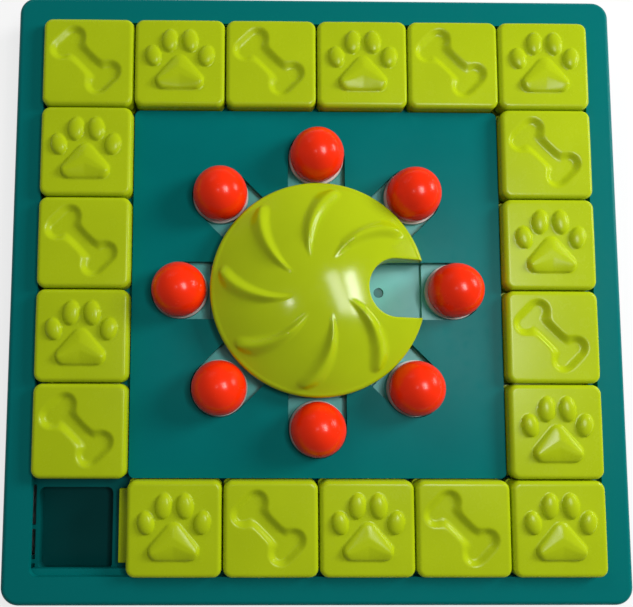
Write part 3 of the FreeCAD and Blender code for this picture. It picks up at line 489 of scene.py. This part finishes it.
def corner_place(x, y, bounds, radius):
    """Move a point of a rectangle's grid so that the rectangle gets round corners."""
    left, right, low, high = bounds
    for sign_x, edge_x in ((-1, left), (1, right)):
        for sign_y, edge_y in ((-1, low), (1, high)):
            centre = (edge_x - sign_x * radius, edge_y - sign_y * radius)
            dx, dy = (x - centre[0]) * sign_x, (y - centre[1]) * sign_y
            if dx > 0 and dy > 0:
                scale = max(dx, dy) / math.hypot(dx, dy)
                return centre[0] + dx * scale * sign_x, centre[1] + dy * scale * sign_y
    return x, y


def tile_top(marks, half, top, relief, sizes):
    """Points of a tile's upper face, row by row."""
    points = []
    bend = sizes.tile_round
    for v in marks:
        for u in marks:
            x, y = corner_place(u, v, (-half, half, -half, half), sizes.tile_corner)
            inward = half - max(abs(u), abs(v))
            short = max(0.0, bend - inward)
            fall = bend - math.sqrt(max(0.0, bend ** 2 - short ** 2))
            crown = sizes.tile_crown * ((u / half) ** 2 + (v / half) ** 2) * 0.5
            points.append((x, y, top - fall - crown + relief(x, y, sizes)))
    return points


def ring_order(count):
    """Indices of a square grid's border, counter-clockwise from its first corner."""
    last = count - 1
    ring = [index for index in range(last)]
    ring += [row * count + last for row in range(last)]
    ring += [last * count + column for column in range(last, 0, -1)]
    ring += [row * count for row in range(last, 0, -1)]
    return ring


def bevel_box(low, high, bevel):
    """Points and faces of a box with bevelled edges."""
    build = bmesh.new()
    bmesh.ops.create_cube(build, size=1.0)
    for vert in build.verts:
        vert.co = Vector([low[axis] if vert.co[axis] < 0 else high[axis] for axis in range(3)])
    bmesh.ops.bevel(build, geom=list(build.edges), offset=bevel, segments=3, affect="EDGES", profile=0.5)
    build.verts.index_update()
    verts = [tuple(vert.co) for vert in build.verts]
    faces = [tuple(vert.index for vert in face.verts) for face in build.faces]
    build.free()
    return verts, faces


TONGUE_REACH = 7.0 * MM
TONGUE_SPAN = 24.5 * MM
TONGUE_UNDER, TONGUE_OVER = 25.0 * MM, 28.2 * MM
TONGUE_ROOT = 3.0 * MM
TONGUE_BEVEL = 0.8 * MM
GROOVE_DEPTH = 8.5 * MM
GROOVE_UNDER, GROOVE_OVER = 24.5 * MM, 28.7 * MM
GROOVE_CORNER = 3.0 * MM
TILE_WALL = 2.4 * MM
TILE_ROOF = 5.5 * MM
TILE_CORNER = 6.0 * MM
HOLLOW_CORNER = 3.6 * MM


def tile_levels(half, top, bottom):
    """Rings under a tile's upper face, from the groove's roof to the hollow's: bounds, height, corner."""
    full = (-half, half, -half, half)
    neck = (-half, half - GROOVE_DEPTH, GROOVE_DEPTH - half, half)
    inset = GROOVE_DEPTH + TILE_WALL
    hollow = (TILE_WALL - half, half - inset, inset - half, half - TILE_WALL)
    return [(full, GROOVE_OVER, TILE_CORNER), (neck, GROOVE_OVER, GROOVE_CORNER),
            (neck, GROOVE_UNDER, GROOVE_CORNER), (full, GROOVE_UNDER, TILE_CORNER),
            (full, bottom, TILE_CORNER), (hollow, bottom, HOLLOW_CORNER),
            (hollow, top - TILE_ROOF, HOLLOW_CORNER)]


def add_ring(shell, previous, marks, border, level):
    """Add one ring of points at a level, joined to the ring before it."""
    verts, faces = shell
    bounds, height, corner = level
    half, count = marks[-1], len(marks)
    ring = []
    for index in border:
        u, v = marks[index % count] / half, marks[index // count] / half
        x = (bounds[0] + bounds[1]) / 2 + u * (bounds[1] - bounds[0]) / 2
        y = (bounds[2] + bounds[3]) / 2 + v * (bounds[3] - bounds[2]) / 2
        x, y = corner_place(x, y, bounds, corner)
        ring.append(len(verts))
        verts.append((x, y, height))
    for index in range(len(border)):
        after = (index + 1) % len(border)
        faces.append((previous[index], previous[after], ring[after], ring[index]))
    return ring


def tile_shell(relief, sizes):
    """One tile at the origin: relief top, grooves, hollow underside and two tongues."""
    low, high = BONE_BOX
    half = (high.x - low.x - TONGUE_REACH) / 2
    top, bottom = high.z, low.z
    marks = edge_marks(half, sizes)
    count = len(marks)
    shell = (tile_top(marks, half, top, relief, sizes), [])
    faces = shell[1]
    for row in range(count - 1):
        for column in range(count - 1):
            base = row * count + column
            faces.append((base, base + 1, base + count + 1, base + count))
    border = ring_order(count)
    ring = border
    for level in tile_levels(half, top, bottom):
        ring = add_ring(shell, ring, marks, border, level)
    faces.append(tuple(ring))
    reach, root = half + TONGUE_REACH, half - TONGUE_ROOT
    add_shell(shell, *bevel_box((-reach, -TONGUE_SPAN, TONGUE_UNDER), (-root, TONGUE_SPAN, TONGUE_OVER),
                                TONGUE_BEVEL))
    add_shell(shell, *bevel_box((-TONGUE_SPAN, root, TONGUE_UNDER), (TONGUE_SPAN, reach, TONGUE_OVER),
                                TONGUE_BEVEL))
    return shell


def tile_centre(node):
    """Centre of a tile's cap: its box is longer by a tongue on the left and far sides."""
    low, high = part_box(node)
    return Vector(((low.x + TONGUE_REACH + high.x) / 2, (low.y + high.y - TONGUE_REACH) / 2, 0.0))


class FEEDER_OT_tiles(bpy.types.Operator):
    """Make the nineteen sliding tiles with their bone and paw reliefs"""
    bl_idname = "feeder.tiles"
    bl_label = "Sliding tiles"

    def execute(self, context):
        sizes = context.scene.feeder_sizes
        lime = context.scene.feeder_colours.lime
        material = moulded_plastic("tile_lime", lime, roughness=0.26, mirror=0.28)
        shells = {"bone": tile_shell(bone_relief, sizes), "paw": tile_shell(paw_relief, sizes)}
        paw_high = (PAW_BOX[1].z + BONE_BOX[1].z) / 2
        for node in TILE_NODES:
            kind = "paw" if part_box(node)[1].z > paw_high else "bone"
            verts, faces = shells[kind]
            centre = tile_centre(node)
            moved = [(x + centre.x, y + centre.y, z) for x, y, z in verts]
            body = frame["nodes"][node]["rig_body"]
            finish_mesh(node + "_dressed", moved, faces, material, body, [node], "tile_lime")
        return {"FINISHED"}


# Treat wheel. Its sizes are in millimetres

VANE_START, VANE_END = 18.5, 67.5
VANE_DATUM = 20.0
# Angle of a vane at the datum radius, its change with the radius, and the change of that
VANE_TURN, VANE_SWEEP, VANE_CURL = 19.5, 0.48, 0.0033
# Shares of a vane's length: where it has risen, where its tip starts, and how long the tip is
VANE_RISE, VANE_TIP, VANE_TIP_LONG = 0.45, 0.84, 0.16
VANE_NARROW, VANE_WIDEN = 1.2, 6.6
VANE_SKEW = 1.2
VANE_SOFT, VANE_SHARP = 0.55, 0.45
VANE_CREST_ROUND = 0.012


def vane_height(radius, angle):
    """Height of the vanes at a point of the wheel, as a share of the full height."""
    if not VANE_START < radius < VANE_END:
        return 0.0
    run = radius - VANE_DATUM
    lead = VANE_TURN - VANE_SWEEP * run - VANE_CURL * run * run
    slope = radius * math.radians(VANE_SWEEP + 2 * VANE_CURL * run)
    step = 360.0 / KNOBS
    turn = (math.degrees(angle) - lead) % 360.0
    index = round(turn / step)
    if index % KNOBS == 0:
        return 0.0
    aside = radius * math.radians(turn - index * step) / math.hypot(1.0, slope)
    share = (radius - VANE_START) / (VANE_END - VANE_START)
    end = math.sqrt(max(0.0, 1.0 - (max(0.0, share - VANE_TIP) / VANE_TIP_LONG) ** 2))
    width = (VANE_NARROW + VANE_WIDEN * share ** 0.8) * end
    tall = smooth_step(share / VANE_RISE) * math.sqrt(end)
    off = min(1.0, abs(aside - VANE_SKEW * share) / max(width, 0.01))
    soft = 0.5 + 0.5 * math.cos(math.pi * off)
    crest = 1.0 - math.sqrt(off * off + VANE_CREST_ROUND)
    return tall * (VANE_SOFT * soft + VANE_SHARP * max(0.0, crest))


def notch_distance(x, y, half, centre):
    """Distance from a point to the notch's edge, in millimetres."""
    if x > centre:
        return abs(y) - half
    return math.hypot(x - centre, y) - half


def notch_angle(radius, half, centre):
    """Angle at which a circle about the wheel's axis meets the notch's edge."""
    if radius <= centre - half:
        return 0.0
    if radius * radius < centre * centre + half * half:
        cosine = (radius * radius + centre * centre - half * half) / (2 * centre * radius)
        return math.acos(min(1.0, cosine))
    return math.asin(half / radius)


EVEN_RINGS = 43
NEAR_GAPS = (0.4, 0.12)
NOTCH_RINGS = 14
DOME_RINGS = 14


def wheel_rings(outer, half, centre, bend):
    """Radii of the rings of points: dense at the notch's end and at the rim."""
    end = centre - half
    rings = [(end - 1.0) * index / (EVEN_RINGS - 1) for index in range(EVEN_RINGS)]
    rings += [end - gap for gap in NEAR_GAPS]
    for step in range(NOTCH_RINGS + 1):
        angle = math.radians(90.0 * step / NOTCH_RINGS)
        rings.append(math.hypot(centre - half * math.cos(angle), half * math.sin(angle)))
    start = rings[-1]
    reach = outer - bend - start
    rings += [start + reach * index / DOME_RINGS for index in range(1, DOME_RINGS + 1)]
    rings += [outer - bend + bend * math.sin(math.radians(angle)) for angle in EDGE_ANGLES]
    return rings


WHEEL_COLUMNS = 361
SIDE_GAPS = [0.0, 0.12, 0.4, 1.0]
LEAST_SCALE = 22.0


def wheel_skin(outer, half, centre, bend, height):
    """Grid of points over the wheel, with columns that start and end at the notch's edge."""
    grid = []
    for radius in wheel_rings(outer, half, centre, bend):
        edge = notch_angle(radius, half, centre)
        scale = max(radius, LEAST_SCALE)
        start = edge + SIDE_GAPS[-1] / scale
        lefts = [edge + gap / scale for gap in SIDE_GAPS[:-1]]
        sweep = 2 * math.pi - 2 * start
        inner = [start + sweep * index / (WHEEL_COLUMNS - 1) for index in range(WHEEL_COLUMNS)]
        angles = lefts + inner + [2 * math.pi - angle for angle in reversed(lefts)]
        row = []
        for angle in angles:
            x, y = radius * math.cos(angle), radius * math.sin(angle)
            row.append((x * MM, y * MM, height(radius, angle, x, y) * MM))
        grid.append(row)
    return grid


def add_grid(shell, grid, flip=False):
    """Append an open skin, and give the index of its first point."""
    verts, faces = shell
    offset, columns = len(verts), len(grid[0])
    for row in grid:
        verts.extend(row)
    for ring in range(len(grid) - 1):
        for column in range(columns - 1):
            base = offset + ring * columns + column
            face = (base, base + 1, base + columns + 1, base + columns)
            faces.append(face[::-1] if flip else face)
    return offset


def skin_border(offset, grid, first_ring):
    """Indices of a skin's open border: out along one side of the notch, round the rim and back."""
    columns, rings = len(grid[0]), len(grid)
    border = [offset + ring * columns for ring in range(first_ring, rings)]
    border += [offset + (rings - 1) * columns + column for column in range(1, columns)]
    border += [offset + ring * columns + columns - 1 for ring in range(rings - 2, first_ring, -1)]
    return border


NOTCH_HALF, NOTCH_CENTRE = 19.5, 51.5
WHEEL_BEND = 3.0
WHEEL_BASE, WHEEL_SHOULDER = 33.5, 43.0
HUB_BORE, HUB_FOOT, HUB_RADIUS, HUB_FLANGE = 2.1 * MM, 8.6 * MM, 9.0 * MM, 13.0 * MM
HUB_BEVEL = 0.4 * MM
HUB_SHOULDER = 30.5 * MM
HUB_JOIN = 0.2
HUB_STEPS = 64


def add_walls(shell, outside, inside):
    """Close a shell between two open borders: walls down to its foot, and the foot between them."""
    verts, faces = shell
    low_out, low_in = [], []
    for border, lows in ((outside, low_out), (inside, low_in)):
        for index in border:
            lows.append(len(verts))
            verts.append((verts[index][0], verts[index][1], WHEEL_BASE * MM))
    count = len(outside)
    for index in range(count):
        after = (index + 1) % count
        faces.append((outside[index], low_out[index], low_out[after], outside[after]))
        faces.append((low_out[index], low_in[index], low_in[after], low_out[after]))
        faces.append((low_in[index], inside[index], inside[after], low_in[after]))


class FEEDER_OT_wheel(bpy.types.Operator):
    """Make the domed treat wheel with its notch, vanes and hub"""
    bl_idname = "feeder.wheel"
    bl_label = "Treat wheel"

    def execute(self, context):
        sizes = context.scene.feeder_sizes
        outer = WHEEL_HIGH.y / MM
        apex = WHEEL_HIGH.z / MM
        wall = sizes.wheel_shell / MM
        half, centre, bend, shoulder = NOTCH_HALF, NOTCH_CENTRE, WHEEL_BEND, WHEEL_SHOULDER
        curve = ((outer - bend) ** 2 + (apex - shoulder) ** 2) / (2 * (apex - shoulder))
        tall = sizes.vane_height / MM

        def outer_height(radius, angle, x, y):
            if radius > outer - bend:
                return shoulder - bend + math.sqrt(max(0.0, bend ** 2 - (radius - outer + bend) ** 2))
            away = min(1.0, notch_distance(x, y, half, centre))
            lip = 1.0 - math.sqrt(max(0.0, 1.0 - (1.0 - away) ** 2))
            dome = apex - curve + math.sqrt(curve ** 2 - radius ** 2)
            return dome + tall * vane_height(radius, angle) - lip

        def inner_height(radius, angle, x, y):
            return apex - wall - curve + math.sqrt(curve ** 2 - radius ** 2)

        top = wheel_skin(outer, half, centre, bend, outer_height)
        under = wheel_skin(outer - wall, half + wall, centre, bend, inner_height)
        shell = ([], [])
        first = add_grid(shell, top)
        second = add_grid(shell, under, flip=True)
        ring = EVEN_RINGS + len(NEAR_GAPS)
        add_walls(shell, skin_border(first, top, ring), skin_border(second, under, ring))
        low, roof = WHEEL_LOW.z, (apex - wall - HUB_JOIN) * MM
        hub = [(HUB_BORE, roof), (HUB_BORE, low), (HUB_FOOT, low), (HUB_RADIUS, low + HUB_BEVEL),
               (HUB_RADIUS, HUB_SHOULDER), (HUB_FLANGE, HUB_SHOULDER), (HUB_FLANGE, roof), (HUB_BORE, roof)]
        add_shell(shell, *lathe(hub, HUB_STEPS))
        lime = context.scene.feeder_colours.lime
        material = moulded_plastic("wheel_lime", lime, roughness=0.13, mirror=0.4)
        finish_mesh("treat_wheel_dressed", *shell, material, "wheel", ["treat_wheel"], "wheel_lime")
        return {"FINISHED"}


# Knobs

KNOB_ARC_STEPS, KNOB_STEPS = 40, 96
KNOB_LIP = 0.5 * MM
KNOB_LIP_SHARE = 0.3
KNOB_BORE, KNOB_BORE_DEPTH = 1.65 * MM, 14.15 * MM
SHOE_LEVELS = (27.5 * MM, 29.5 * MM)


def knob_profile():
    """Closed section of a knob: a ball cut off level, with a blind bore for its screw."""
    low, high = KNOB_BOX
    radius = (high.x - low.x) / 2
    middle = high.z - radius
    start = math.asin((low.z - middle) / radius)
    arc = []
    for step in range(KNOB_ARC_STEPS + 1):
        angle = start + (math.pi / 2 - start) * step / KNOB_ARC_STEPS
        arc.append((radius * math.cos(angle), middle + radius * math.sin(angle)))
    foot, roof = arc[0][0], low.z + KNOB_BORE_DEPTH
    bevel = KNOB_LIP * KNOB_LIP_SHARE
    return [(0.0, roof), (KNOB_BORE, roof), (KNOB_BORE, low.z), (foot - KNOB_LIP, low.z),
            (foot - bevel, low.z + bevel)] + arc[1:]


class FEEDER_OT_knobs(bpy.types.Operator):
    """Make the eight round knobs and finish their sliding shoes"""
    bl_idname = "feeder.knobs"
    bl_label = "Knobs and shoes"

    def execute(self, context):
        colours = context.scene.feeder_colours
        orange = moulded_plastic("knob_orange", colours.orange, roughness=0.22, ripple=0.03, mirror=0.4)
        collar = moulded_plastic("shoe_pale", colours.pale, roughness=0.35, mirror=0.3,
                                 upper=colours.collar, levels=SHOE_LEVELS)
        profile = knob_profile()
        for name, node in sorted(frame["nodes"].items()):
            if name.startswith("knob_shoe_"):
                wear_material(node, collar)
            elif name.startswith("knob_") and not name.startswith("knob_screw"):
                box_low, box_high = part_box(name)
                centre = (box_low + box_high) / 2
                ball = lathe(profile, KNOB_STEPS, (centre.x, centre.y))
                finish_mesh(name + "_dressed", *ball, orange, node["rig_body"], [name], "knob_orange")
        return {"FINISHED"}


# Board and hardware

# Painted shade: the board's teal is darkened to this share low down, in its pockets, deep slots and on its
# track floor, and returns to plain teal between these levels and on the outer walls
BOARD_PAINTED_SHADE = 0.3
BOARD_SHADE_LEVELS = (12.0 * MM, 27.0 * MM)
# Painted shade: below these levels the inner tray is darker teal, in its dimples, pockets and sides, and pale
# above
TRAY_SHADE_LEVELS = (23.6 * MM, 24.15 * MM)
STEEL = (0.62, 0.61, 0.58, 1.0)
RUBBER = (0.018, 0.018, 0.018, 1.0)


class FEEDER_OT_board(bpy.types.Operator):
    """Finish the board, its centre deck and the inner tray"""
    bl_idname = "feeder.board"
    bl_label = "Board, deck and tray"

    def execute(self, context):
        colours = context.scene.feeder_colours
        # Painted shade: the board is darker low down, in its pockets and on its track floor, where shade
        # falls
        board = moulded_plastic("board_teal", scaled(colours.teal, BOARD_PAINTED_SHADE), roughness=0.32, ripple=0.06,
                                mirror=0.12, upper=colours.teal, levels=BOARD_SHADE_LEVELS)
        deck = moulded_plastic("deck_teal", colours.teal, roughness=0.30, ripple=0.08, mirror=0.06)
        # Painted shade: the inner tray is darker teal on its faces below its top, where shade falls, and pale
        # on top
        pale = moulded_plastic("pale_teal", colours.teal, roughness=0.35, mirror=0.3,
                               upper=colours.pale, levels=TRAY_SHADE_LEVELS)
        for name, material in (("base_tray", board), ("center_deck", deck), ("inner_tray", pale)):
            wear_material(frame["nodes"][name], material)
        return {"FINISHED"}


class FEEDER_OT_hardware(bpy.types.Operator):
    """Finish the screws, the washer and the rubber feet"""
    bl_idname = "feeder.hardware"
    bl_label = "Screws and feet"

    def execute(self, context):
        steel = turned_metal("steel", STEEL)
        rubber = soft_rubber("foot_rubber", RUBBER)
        for name, node in frame["nodes"].items():
            if "screw" in name or "washer" in name:
                wear_material(node, steel)
        wear_material(frame["nodes"]["rubber_feet"], rubber)
        return {"FINISHED"}


# Stage

PHOTO_WIDTH, PHOTO_HEIGHT = 633.0, 607.0
FOCAL_PIXELS = 606.0
CENTRE_PIXEL = (256.0, 338.0)
SENSOR = 36.0
CAMERA_TURN = (-4.51, 0.60, -0.20)
CAMERA_SHIFT = Vector((41.5, 30.2, -442.9)) * MM
CAMERA_DATUM = Vector((0.0, 0.0, 5.0)) * MM
CAMERA_CLIP = (0.01, 20.0)
FLOOR_HALF = 3.0
FLOOR_DARK = 0.205
FLOOR_PALE = (0.86, 0.86, 0.86, 1.0)
FLOOR_GLOW = 0.75
WHITE = (1.0, 1.0, 1.0, 1.0)
WORLD_LIGHT = 0.14
# Each lamp: name, place, target, size, power, and whether gloss mirrors it
LAMPS = [
    ("key", (1.35, 0.55, 0.70), (0.10, 0.05, 0.03), (0.6, 0.5), 19.5, False),
    ("fill", (-0.70, 1.25, 0.80), (0.0, 0.05, 0.03), (0.7, 0.5), 4.2, False),
    ("pane_right", (0.38, 0.09, 0.88), (0.02, 0.0, 0.05), (0.36, 0.10), 2.4, True),
    ("pane_left", (0.25, 0.09, 0.92), (0.02, 0.0, 0.05), (0.36, 0.10), 1.2, True),
    ("small_left", (-0.16, 0.0, 0.95), (0.0, 0.0, 0.03), (0.04, 0.04), 0.2, True),
    ("side", (1.20, 0.45, 0.50), (0.0, 0.0, 0.03), (0.4, 0.25), 2.2, True)]


def add_lamp(name, place, target, size, power, mirrored):
    """Add a soft rectangular lamp; an unmirrored one lights surfaces but isn't seen in their gloss."""
    lamp = bpy.data.lights.new(name, "AREA")
    lamp.shape = "RECTANGLE"
    lamp.size, lamp.size_y = size
    lamp.energy = power
    holder = bpy.data.objects.new(name, lamp)
    holder.visible_glossy = mirrored
    holder.location = place
    holder.rotation_euler = (Vector(target) - Vector(place)).to_track_quat("-Z", "Y").to_euler()
    bpy.context.scene.collection.objects.link(holder)


def make_camera():
    """Put the camera where the photo was taken from."""
    data = bpy.data.cameras.new("camera")
    data.sensor_width = SENSOR
    data.lens = FOCAL_PIXELS / PHOTO_WIDTH * SENSOR
    data.shift_x = (PHOTO_WIDTH / 2 - CENTRE_PIXEL[0]) / PHOTO_WIDTH
    data.shift_y = (CENTRE_PIXEL[1] - PHOTO_HEIGHT / 2) / PHOTO_WIDTH
    data.clip_start, data.clip_end = CAMERA_CLIP
    camera = bpy.data.objects.new("camera", data)
    x, y, z = (math.radians(angle) for angle in CAMERA_TURN)
    turn = (Matrix.Rotation(z, 3, "Z") @ Matrix.Rotation(y, 3, "Y") @ Matrix.Rotation(x, 3, "X")).transposed()
    camera.location = CAMERA_DATUM - turn @ CAMERA_SHIFT
    camera.rotation_euler = turn.to_euler()
    bpy.context.scene.collection.objects.link(camera)
    bpy.context.scene.camera = camera


def make_floor():
    """A plain pale floor that reads as white to the camera and is left dark under the board."""
    mesh = bpy.data.meshes.new("floor")
    corners = [(-1, -1), (1, -1), (1, 1), (-1, 1)]
    mesh.from_pydata([(x * FLOOR_HALF, y * FLOOR_HALF, 0) for x, y in corners], [], [(0, 1, 2, 3)])
    floor = bpy.data.objects.new("floor", mesh)
    bpy.context.scene.collection.objects.link(floor)
    material, shader, start = new_material("floor_pale")
    shader.inputs["Base Color"].default_value = FLOOR_PALE
    shader.inputs["Roughness"].default_value = 0.9
    shader.inputs["Specular IOR Level"].default_value = 0.1
    outside = start.maths("GREATER_THAN", square_reach(start, object_place(start)), FLOOR_DARK)
    seen = start.node("ShaderNodeLightPath")
    glow = start.node("ShaderNodeEmission", {}, {"Color": WHITE, "Strength": 1.0})
    blend = start.node("ShaderNodeMixShader", {}, {0: seen * outside * FLOOR_GLOW, 1: start, 2: glow})
    output = start.tree.nodes["Material Output"]
    start.tree.links.new(blend.socket, output.inputs["Surface"])
    mesh.materials.append(material)


def make_world():
    """A dim studio that reads as white to the camera."""
    world = bpy.data.worlds.new("studio")
    bpy.context.scene.world = world
    world.use_nodes = True
    tree = world.node_tree
    background = tree.nodes["Background"]
    start = Wire(tree, background.outputs[0])
    seen = start.node("ShaderNodeLightPath")
    background.inputs["Color"].default_value = WHITE
    strength = WORLD_LIGHT + seen * (1.0 - WORLD_LIGHT)
    tree.links.new(strength.socket, background.inputs["Strength"])


class FEEDER_OT_stage(bpy.types.Operator):
    """Set up the floor, the studio light and the camera"""
    bl_idname = "feeder.stage"
    bl_label = "Stage"

    def execute(self, context):
        make_floor()
        make_world()
        for lamp in LAMPS:
            add_lamp(*lamp)
        context.scene.view_settings.view_transform = "Standard"
        make_camera()
        return {"FINISHED"}


class FEEDER_PT_panel(bpy.types.Panel):
    """Sizes, colours and steps of the feeder"""
    bl_label = "Puzzle feeder"
    bl_idname = "FEEDER_PT_panel"
    bl_space_type = "VIEW_3D"
    bl_region_type = "UI"
    bl_category = "Feeder"

    def draw(self, context):
        layout = self.layout
        for group in (context.scene.feeder_sizes, context.scene.feeder_colours):
            for name in group.__annotations__:
                layout.prop(group, name)
        for step in STEPS:
            layout.operator(step.bl_idname)


STEPS = (FEEDER_OT_board, FEEDER_OT_tiles, FEEDER_OT_wheel, FEEDER_OT_knobs, FEEDER_OT_hardware,
         FEEDER_OT_stage)
CLASSES = (FeederSizes, FeederColours) + STEPS + (FEEDER_PT_panel,)


def register():
    """Add the classes and the scene's two groups of settings."""
    for item in CLASSES:
        bpy.utils.register_class(item)
    bpy.types.Scene.feeder_sizes = PointerProperty(type=FeederSizes)
    bpy.types.Scene.feeder_colours = PointerProperty(type=FeederColours)


def unregister():
    """Take away what register added."""
    del bpy.types.Scene.feeder_colours
    del bpy.types.Scene.feeder_sizes
    for item in reversed(CLASSES):
        bpy.utils.unregister_class(item)


def main():
    """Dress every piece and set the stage."""
    register()
    bpy.ops.feeder.board()
    bpy.ops.feeder.tiles()
    bpy.ops.feeder.wheel()
    bpy.ops.feeder.knobs()
    bpy.ops.feeder.hardware()
    bpy.ops.feeder.stage()


if __name__ == "__main__":
    main()
